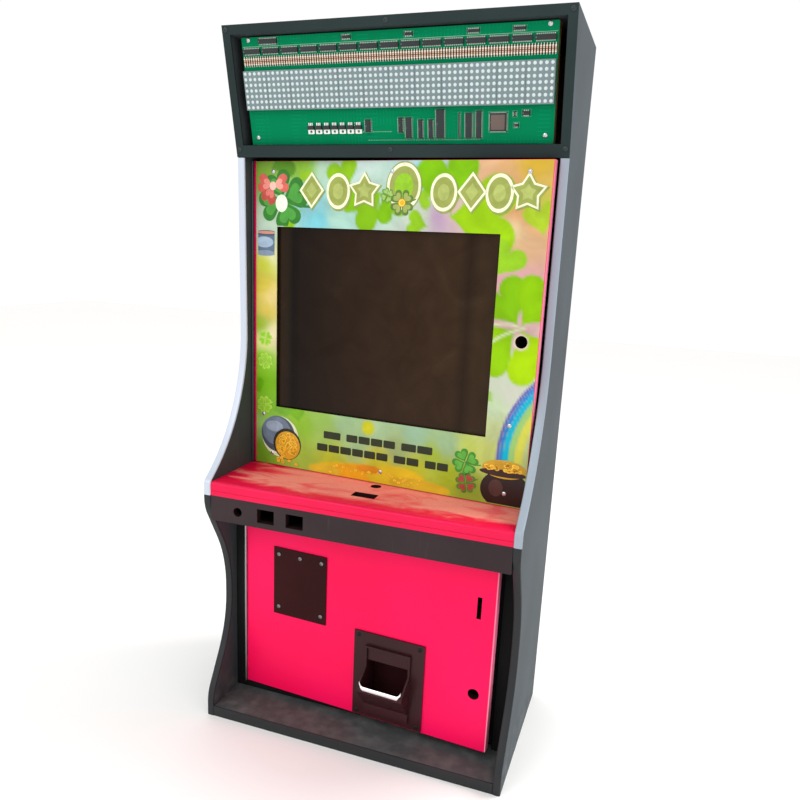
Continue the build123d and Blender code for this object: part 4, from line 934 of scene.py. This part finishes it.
def lip_guard(half=36.0, front=36.0, height=107.0):
    """A section carried along x; each end rises 7 mm and moves back 3 mm by (way into the last fifth)^2."""
    x = np.linspace(-half, half, 41)
    end = np.clip((np.abs(x) - 0.8 * half) / (0.2 * half), 0, 1) ** 2
    a = np.arange(16) * 2 * np.pi / 16
    out = front - 1.0 - 3.0 * end[:, None] + 1.9 * np.sin(a)
    up = height - 1.9 + 7.0 * end[:, None] + 3.9 * np.cos(a)
    levels = np.stack(np.broadcast_arrays(x[:, None] + CUP_X, up, out), -1)
    return loft(levels)


piece("cup_lip_guard", [lip_guard()], [chrome], "lower_door", ["payout_cup_lip"], DOOR)

# %% [markdown]
# ## Printed sheet
# A clear sheet printed on its face covers the screen door. Its ground is pastel clouds, blended from soft
# spots by distance. Flat lime leaves, a rainbow and a heap of gold lie over the clouds. The CAD sheet is cut
# into a 3 mm net and each corner carries its own colour, so the print's edges are a little soft.

# %% Shapes in the print
CLOUDS = (
    (-225, 905, "7ea83a"), (-150, 905, "8cbf3c"), (-100, 900, "b9d8c4"), (-40, 905, "c6dcd8"),
    (25, 908, "b9d9d6"), (50, 895, "8ecfe6"), (140, 905, "e6b890"), (170, 885, "e2b07c"),
    (215, 905, "e6bd3e"), (228, 875, "dfb860"), (-130, 850, "94ccd6"), (-118, 825, "7ccfe0"),
    (-90, 830, "b4dfd2"), (-20, 880, "bcd9cf"), (10, 860, "bfe0cf"), (55, 835, "cfdcc8"),
    (75, 835, "c7a4cc"), (95, 850, "dcc0b4"), (195, 850, "d9a070"), (190, 815, "e3c79c"),
    (215, 830, "dba87c"), (205, 790, "e0b48c"), (190, 765, "dfa8b4"), (210, 745, "dca4ac"),
    (190, 700, "d6b0b4"), (232, 860, "c8cc50"), (190, 600, "c9d2c0"), (180, 570, "c4dab4"),
    (205, 590, "cdd0c4"), (180, 530, "c8d69c"), (170, 505, "cbd878"), (150, 500, "bccf62"),
    (110, 500, "a9cfa2"), (60, 508, "a4cfae"), (0, 508, "b0d2a2"), (-60, 508, "a6cd9a"),
    (-110, 510, "a0cc62"), (-140, 495, "93c83a"), (-150, 450, "a8c94c"), (-100, 478, "a5cc66"),
    (-40, 485, "9fc08c"), (30, 480, "a2b87c"), (90, 480, "a9c43c"), (120, 455, "b4ca2e"),
    (60, 455, "c3cc34"), (-90, 455, "c0cc3a"), (0, 458, "d4d238"), (150, 440, "96a83a"),
    (-225, 440, "7ab02c"), (-228, 480, "98c86a"), (-225, 530, "82c030"), (-215, 560, "7ec01c"),
    (-220, 600, "88c820"), (-222, 630, "d8dc8c"), (-205, 640, "efe2ba"), (-225, 655, "a4cc2e"),
    (-215, 680, "e4cc5c"), (-202, 700, "f0d890"), (-222, 720, "dcc848"), (-215, 755, "ccd222"),
    (-205, 765, "e6e8b4"), (-215, 800, "b8cfc0"),
)


def heart(x, y, size, turn, plump=1.0):
    """x = 16 sin^3 t, y = 13 cos t - 5 cos 2t - 2 cos 3t - cos 4t, tip at (x, y), turned by an angle."""
    t = np.linspace(0, 2 * np.pi, 40, endpoint=False)[::-1]
    tall = 13 * np.cos(t) - 5 * np.cos(2 * t) - 2 * np.cos(3 * t) - np.cos(4 * t) + 17
    shape = np.stack([plump * 16 * np.sin(t) ** 3, tall], -1) * size / 30
    c, s = math.cos(turn), math.sin(turn)
    return shape @ np.array([[c, s], [-s, c]]) + (x, y)


def round_spot(x, y, radius, count=28, squash=1.0):
    """A circle, or an ellipse where squash isn't 1."""
    a = np.arange(count) * 2 * np.pi / count
    return np.stack([x + radius * np.cos(a), y + squash * radius * np.sin(a)], -1)


def arc_band(x, y, r0, r1, start, stop, count=30):
    """A band between two radii, from one angle to another."""
    a = np.radians(np.linspace(start, stop, count))
    outer = np.stack([x + r1 * np.cos(a), y + r1 * np.sin(a)], -1)
    inner = np.stack([x + r0 * np.cos(a), y + r0 * np.sin(a)], -1)[::-1]
    return np.concatenate([outer, inner])


LEAVES = (
    (-206, 900, 44, -1.2, "5f962a"), (-150, 838, 40, 1.9, "8ac41c"), (-132, 900, 26, 2.6, "9acb2c"),
    (-70, 868, 48, 0.35, "93cb20"), (-72, 866, 30, 2.9, "93cb20"), (-12, 868, 66, 2.2, "8cc818"),
    (-10, 868, 46, 3.6, "84c312"), (0, 845, 38, -0.8, "8fcb22"), (62, 820, 34, 1.4, "98d024"),
    (40, 866, 30, -1.9, "9cd02e"), (96, 838, 86, 0.15, "84c60c"), (92, 834, 104, -1.55, "9fd212"),
    (232, 812, 46, 0.2, "b0d030"), (168, 754, 52, -0.5, "9cd32a"),
    (207, 688, 70, 0.62, "86c40c"), (211, 688, 72, -0.6, "90ca08"), (205, 684, 78, 2.25, "92cb0a"),
    (210, 684, 80, -2.62, "aad808"), (178, 576, 16, 0.9, "a2cf66"), (-226, 540, 26, 0.4, "6cb418"),
    (-200, 512, 34, -1.0, "7cba3c"), (-150, 500, 26, 0.2, "7fbe2c"),
)
STALKS = ((250, 560, 128, 131.5, 104, 128), (190, 620, 68, 71, 76, 106))
RAINBOW = (
    (128, 141, "dfe05a"), (141, 150, "a4d67e"), (150, 158.5, "14c0e2"), (158.5, 164, "2f8bdc"),
    (164, 168.5, "6a66bc"))
GOLD_HEAP = (
    (-40, 428, 78, 0.22, "ecc830"), (-30, 430, 52, 0.3, "f2b226"), (30, 432, 52, 0.4, "efd030"),
    (70, 426, 52, 0.22, "e2c434"), (-18, 440, 22, 0.32, "f09c2a"), (-100, 426, 30, 0.3, "e6c83a"))
FLAT = [(heart(x, z, size, turn, 1.05), code) for x, z, size, turn, code in LEAVES]
FLAT += [(arc_band(*stalk), "e2ecc0") for stalk in STALKS]
FLAT += [(arc_band(358, 493, inner, outer, 132, 182), code) for inner, outer, code in RAINBOW]
FLAT += [(round_spot(212.9, 665.7, 11.5), "ecd9c6"), (round_spot(-22, 508, 11, squash=1.1), "cfd22c")]
FLAT += [(round_spot(x, z, radius, squash=squash), code) for x, z, radius, squash, code in GOLD_HEAP]


CLOUD_SOFTNESS, EDGE_BLUR, RIM = 12.0, 2.4, 14.0
INK_STRENGTH = (0.84, 0.84, 0.8, 1.0)


def inside_depth(outline, x, z):
    """Distance to the outline in mm, positive inside: nearest edge, signed by counting crossings."""
    ends = np.roll(outline, -1, 0)
    run = ends - outline
    dx, dz = x[:, None] - outline[:, 0], z[:, None] - outline[:, 1]
    along = np.clip((dx * run[:, 0] + dz * run[:, 1]) / (run ** 2).sum(1), 0, 1)
    gap = np.hypot(dx - along * run[:, 0], dz - along * run[:, 1]).min(1)
    spans = (outline[:, 1] > z[:, None]) != (ends[:, 1] > z[:, None])
    height = np.where(np.abs(run[:, 1]) < 1e-9, 1e-9, run[:, 1])
    crossed = spans & (dx < dz * run[:, 0] / height)
    return np.where(crossed.sum(1) % 2 == 1, gap, -gap)


def print_colour(x, z):
    """Clouds: spot colours by 1 / (distance^2 + softness^2)^2. Flat shapes cover them in turn."""
    spots = np.array([(a, b) for a, b, _ in CLOUDS], float)
    tints = np.array([linear(code) for _, _, code in CLOUDS])
    gap = (x[:, None] - spots[:, 0]) ** 2 + (z[:, None] - spots[:, 1]) ** 2
    weight = 1 / (gap + CLOUD_SOFTNESS ** 2) ** 2
    colour = weight @ tints / weight.sum(1, keepdims=True)
    for outline, code in FLAT:
        near = np.all(np.abs(np.stack([x, z], -1) - outline.mean(0)) < np.ptp(outline, axis=0) + 4, axis=1)
        depth = inside_depth(outline, x[near], z[near])[:, None]
        cover = np.clip(depth / EDGE_BLUR + 0.5, 0, 1)
        shade = 0.93 + 0.12 * np.clip(depth / RIM, 0, 1)
        colour[near] += (np.array(linear(code)) * shade - colour[near]) * cover
    return colour * INK_STRENGTH


print("the print has", len(CLOUDS), "clouds and", len(FLAT), "flat shapes")

# %% Printed sheet
NET = 3
SHEET_OVERRUN = 3.4


def printed_sheet():
    """The CAD sheet, netted by cuts, its right edge drawn out to the door's, with a tint at each corner."""
    work = merged("bezel_artwork_sheet")
    turn, origin = BEZEL[:3, :3], BEZEL[:3, 3]
    cuts = [(origin + turn[:, 0] * step, turn[:, 0]) for step in range(-234, 240, NET)]
    cuts += [((0, 0, step), (0, 0, 1)) for step in range(421, 912, NET)]
    for spot, direction in cuts:
        everything = work.verts[:] + work.edges[:] + work.faces[:]
        bmesh.ops.bisect_plane(work, geom=everything, plane_co=np.array(spot) * 0.001, plane_no=direction)
    mesh = own_mesh(work, "printed_sheet")
    places = np.zeros(len(mesh.vertices) * 3, np.float32)
    mesh.vertices.foreach_get("co", places)
    places = (places.reshape(-1, 3).astype(float) * 1000 - origin) @ turn
    places[:, 0] += SHEET_OVERRUN * (places[:, 0] > places[:, 0].max() - 0.05)
    mesh.vertices.foreach_set("co", ((places @ turn.T + origin) * 0.001).astype(np.float32).ravel())
    tint = mesh.color_attributes.new("tint", "FLOAT_COLOR", "POINT")
    tint.data.foreach_set("color", print_colour(places[:, 0], places[:, 1]).astype(np.float32).ravel())
    mesh.materials.append(sheet_print)
    return put_in(mesh, "bezel_door", ["bezel_artwork_sheet"])


print("printed sheet:", len(printed_sheet().data.polygons), "faces")

# %% [markdown]
# ## Printed motifs
# Sharper print lies on top of the soft ground: clovers, coins, pots and plain ornaments, drawn as flat
# outlines one above another like layers of ink, each 0.06 mm thick. An outline that would cross the sheet's
# edge or the screen opening is cut off there.

# %% Motif outlines
LAYER = 0.06
STRIPS = {
    "top": (-230, 236.8, 814, 909), "bottom": (-230, 236.8, 421.5, 519), "left": (-230, -199, 421.5, 909)}


def cut_to(outline, box):
    """Cuts an outline to a box: each side keeps the inner points and adds one where an edge crosses it."""
    for axis, limit, sign in ((0, box[0], 1), (0, box[1], -1), (1, box[2], 1), (1, box[3], -1)):
        depth = (outline[:, axis] - limit) * sign
        kept = []
        for a, b, da, db in zip(outline, np.roll(outline, -1, 0), depth, np.roll(depth, -1)):
            if da >= 0:
                kept.append(a)
            if da * db < 0:
                kept.append(a + (b - a) * da / (da - db))
        outline = np.array(kept)
    return outline


def printed(outline, layer, tint, strip="bottom"):
    """One flat layer of ink, cut to its strip of the sheet."""
    return card(cut_to(outline, STRIPS[strip]), layer * LAYER - 0.02, (layer + 1) * LAYER, 0, tint)


def clover(x, y, size, turn, fill, vein, leaves=4, layer=1, strip="bottom"):
    """Leaves round a point, each with a paler heart inside, and a curved stalk."""
    made = []
    t = np.linspace(0, 1, 12)
    bend = np.stack([0.28 * size * t ** 2, -1.15 * size * t], -1)
    wide = np.stack([np.full(12, 0.045 * size), np.zeros(12)], -1)
    stalk = np.concatenate([bend + wide, (bend - wide)[::-1]])[::-1]
    c, s = math.cos(turn + math.pi / leaves), math.sin(turn + math.pi / leaves)
    made.append(printed(stalk @ np.array([[c, s], [-s, c]]) + (x, y), layer, fill, strip))
    for number in range(leaves):
        angle = turn + number * 2 * math.pi / leaves
        made.append(printed(heart(x, y, size, angle), layer + 1, fill, strip))
        away = np.array([-math.sin(angle), math.cos(angle)]) * size * 0.16
        made.append(printed(heart(x + away[0], y + away[1], size * 0.66, angle), layer + 2, vein, strip))
    return made


def coin(x, y, radius, layer=3, squash=1.0, strip="bottom"):
    """Dark rim, gold face, pale inner ring and a gleam."""
    rings = ((1, 0, "a87410"), (0.9, 0, "f0c32c"), (0.68, 0, "ffe27a"), (0.58, 0.05, "e8ae1e"))
    return [printed(round_spot(x + shift * radius, y, radius * scale, 24, squash), layer + step, tint, strip)
            for step, (scale, shift, tint) in enumerate(rings)]


print("a leaf has", len(heart(0, 0, 10, 0)), "points")

# %% [markdown]
# ## Headline and corner motifs
# The headline is a row of plain ornaments, olive green with a cream outline: lozenges, stars and discs round
# a ring with a clover. Nothing in it can be read. To its left, three hearts make a red flower on a dark
# clover.

# %% Headline ornaments
def star(x, y, radius, points=5, dent=0.5, turn=0.0):
    """Corners alternate between the radius and the dented radius."""
    a = np.arange(2 * points) * np.pi / points + np.pi / 2 + turn
    r = np.where(np.arange(2 * points) % 2 == 0, radius, radius * dent)
    return np.stack([x + r * np.cos(a), y + r * np.sin(a)], -1)


def ornament(shape, x, y, size):
    """Soft shadow, cream outline, olive body and a lighter middle of the same shape."""
    layers = ((1.2, 1.5, "8f9c50"), (1.14, 0, "eef0cc"), (0.92, 0, "96a04e"), (0.5, 0, "aab662"))
    made = []
    for layer, (scale, shift, tint) in enumerate(layers):
        if shape == "lozenge":
            outline = round_spot(x + shift, y - shift, size * scale * 0.95, 4, 1.25)
        elif shape == "disc":
            outline = round_spot(x + shift, y - shift, size * scale * 0.88, 28, 1.3)
        else:
            outline = star(x + shift, y - shift, size * scale * 1.2, dent=0.58)
        made.append(printed(outline, layer + 6, tint, "top"))
    return made


motifs = []
for number, x in enumerate((-132, -86, -42, 84, 126, 166, 206)):
    motifs += ornament(("lozenge", "disc", "star", "disc")[number % 4], x, 868 - number % 2, 20)
ring = ((1.18, "8f9c50"), (1.12, "eef0cc"), (0.95, "96a04e"), (0.62, "8cc020"))
for layer, (scale, code) in enumerate(ring, 5):
    motifs.append(printed(round_spot(22, 875, 24 * scale, 36, 1.22), layer, code, "top"))
motifs += clover(20, 852, 19, 0.78, "5c7a30", "9aa85a", 4, 9, "top")
motifs += coin(20, 852, 6.0, 12, strip="top")
motifs += clover(-4, 862, 11, 0.4, "6a9a3a", "9cc060", 4, 9, "top")
motifs += clover(-184, 854, 44, 0.35, "2f7a26", "4a9a3a", 4, 4, "top")
for turn, code, gleam in ((1.35, "cf5a50", "e88a7c"), (-1.35, "d46458", "f0a090"), (2.7, "b84a40", "d8746a")):
    motifs.append(printed(heart(-202, 874, 29, turn, 0.9), 8, code, "top"))
    motifs.append(printed(heart(-202, 874, 19, turn, 0.8), 9, gleam, "top"))
motifs.append(printed(round_spot(-202, 874, 6, 20, 1.1), 10, "f2c4b4", "top"))
motifs.append(printed(round_spot(-186, 848, 11, 24, 1.2), 8, "e4ecd8", "top"))
print("headline patches:", len(motifs))

# %% [markdown]
# ## Pots and coins
# Left, a small blue-grey pot; bottom left, a grey pot lies on its side, full of coins; bottom right, a dark
# pot heaped with them, cut off by the sheet's edge. Two rows of plain dark bars stand for the notice.

# %% Pots, coins and notice bars
rng = np.random.default_rng(7)
SMALL_POT = (
    (-216, 786, 24, 32, 0.75, 3, "5d6f86"), (-218, 788, 17, 28, 0.5, 4, "9db2c6"),
    (-214, 802, 22, 28, 0.2, 5, "4a5866"), (-214, 803, 19, 28, 0.12, 6, "c98a76"),
    (-216, 771, 20, 24, 0.22, 5, "7e90a4"))
LYING_POT = (
    (-186, 470, 36, 40, 0.98, 3, "dfe8c4"), (-190, 474, 33, 40, 0.95, 4, "4c5864"),
    (-193, 479, 28, 36, 0.9, 5, "6f7e90"), (-197, 487, 17, 28, 0.55, 6, "94a4b6"),
    (-172, 459, 27, 36, 1.0, 6, "2e3226"), (-171, 457, 24, 36, 1.0, 7, "d8a02c"))
DARK_POT = (
    (207, 444, 38, 40, 0.8, 4, "2a1a16"), (193, 446, 11, 24, 1.2, 5, "4c302a"),
    (204, 476, 34, 32, 0.42, 5, "c89a24"), (202, 470, 36, 28, 0.16, 6, "3a221a"))


def pot(ovals, strip="bottom"):
    """Ovals of ink one above another, each x, z, radius, count, squash, layer and colour."""
    return [printed(round_spot(*oval), layer, code, strip) for *oval, layer, code in ovals]


motifs += pot(SMALL_POT, "left")
for x, z, size, turn in ((-216, 634, 13, 0.6), (-216, 596, 14, 0.2), (-217, 522, 15, 0.9)):
    motifs += clover(x, z, size, turn, "a6cf4c", "8cc42c", 4, 1, "left")
motifs += pot(LYING_POT)
for reach, a in zip(np.sqrt(rng.uniform(0, 1, 46)) * 20, rng.uniform(0, 2 * np.pi, 46)):
    x, z = -171 + reach * math.cos(a), 456 + reach * math.sin(a)
    motifs += coin(x, z, rng.uniform(3.4, 4.8), 8, rng.uniform(0.6, 0.95))
for x, z in np.column_stack([rng.uniform(-190, -150, 8), rng.uniform(426, 434, 8)]):
    motifs += coin(x, z, 3.8, 8, 0.7)
motifs += pot(DARK_POT)
for x, lift in zip(rng.uniform(174, 230, 34), rng.uniform(0, 1, 34)):
    motifs += coin(x, 474 + lift * 14 * (1 - ((x - 204) / 34) ** 2), 4.2, 7, 0.72)
for x, z in zip(rng.uniform(-100, 90, 26), rng.uniform(424, 438, 26)):
    motifs += coin(x, z, rng.uniform(2.6, 3.8), 2, 0.6)
motifs += clover(143, 478, 21, 0.5, "3f8c2c", "5cae3e", 4, 3)
motifs += clover(146, 446, 17, 1.0, "4c7a2c", "a8443a", 4, 3)
BAR_GAP, GROUP_GAP = 2.2, 11
for z, x, widths in ((486.0, -102, (31, 86, 52)), (464.0, -114, (128, 42, 38))):
    for width in widths:
        bars = max(1, round(width / 22))
        run = (width - BAR_GAP * (bars - 1)) / bars
        for number in range(bars):
            bar = rounded_loop(run, 12.0, 1.5) + (x + run / 2 + number * (run + BAR_GAP), z)
            motifs.append(printed(bar, 5, "2a3018"))
        x += width + GROUP_GAP
piece("printed_motifs", motifs, [ink], "bezel_door", [], BEZEL)

# %% [markdown]
# ## Floor, light and camera
# A pale floor, a broad soft key from the front left, a second from the right that lifts the outer side, and a
# pale world that fills the rest. The camera stands to the right of the cabinet and looks a little down.

# %% Floor
floor_mesh = bpy.data.meshes.new("floor")
floor_mesh.from_pydata([(-6, -6, 0), (6, -6, 0), (6, 6, 0), (-6, 6, 0)], [], [(0, 1, 2, 3)])
floor = bpy.data.objects.new("floor", floor_mesh)
bpy.context.scene.collection.objects.link(floor)
floor.data.materials.append(finish("pale_floor", "fbfaf8", 0.9)[0])

# %% Light
world = bpy.data.worlds.new("pale_room")
world.use_nodes = True
sky = world.node_tree.nodes["Background"]
sky.inputs["Color"].default_value = linear("ffffff")
sky.inputs["Strength"].default_value = 1.02
bpy.context.scene.world = world


def soft_light(name, place, aim, size, watts):
    """A square area light that looks from one place to another."""
    data = bpy.data.lights.new(name, "AREA")
    data.size, data.energy = size, watts
    lamp = bpy.data.objects.new(name, data)
    lamp.location = place
    direction = Vector(aim) - Vector(place)
    lamp.rotation_mode = "QUATERNION"
    lamp.rotation_quaternion = direction.to_track_quat("-Z", "Y")
    bpy.context.scene.collection.objects.link(lamp)


soft_light("key_front", (-1.2, -2.6, 2.3), (0, 0, 0.6), 1.8, 24)
soft_light("side_right", (1.5, 0.8, 2.6), (0.25, 0, 1.1), 1.0, 34)
print("lights ready")

# %% Camera
data = bpy.data.cameras.new("camera")
data.lens, data.sensor_width = 33.98, 36.0
data.shift_x, data.shift_y = 0.01935, 0.03715
camera = bpy.data.objects.new("camera", data)
yaw, pitch, roll = (math.radians(a) for a in (19.887, -13.931, 2.356))
forward = Vector((-math.sin(yaw) * math.cos(pitch), math.cos(yaw) * math.cos(pitch), math.sin(pitch)))
right = Vector((math.cos(yaw), math.sin(yaw), 0))
up = right.cross(forward)
across = math.cos(roll) * right + math.sin(roll) * up
above = -math.sin(roll) * right + math.cos(roll) * up
turn = Matrix((across, above, -forward)).transposed()
camera.matrix_world = Matrix.Translation((0.3985, -1.1162, 0.7952)) @ turn.to_4x4()
bpy.context.scene.collection.objects.link(camera)
bpy.context.scene.camera = camera
bpy.context.scene.view_settings.view_transform = "Standard"
print("camera at", [round(v, 3) for v in camera.location])
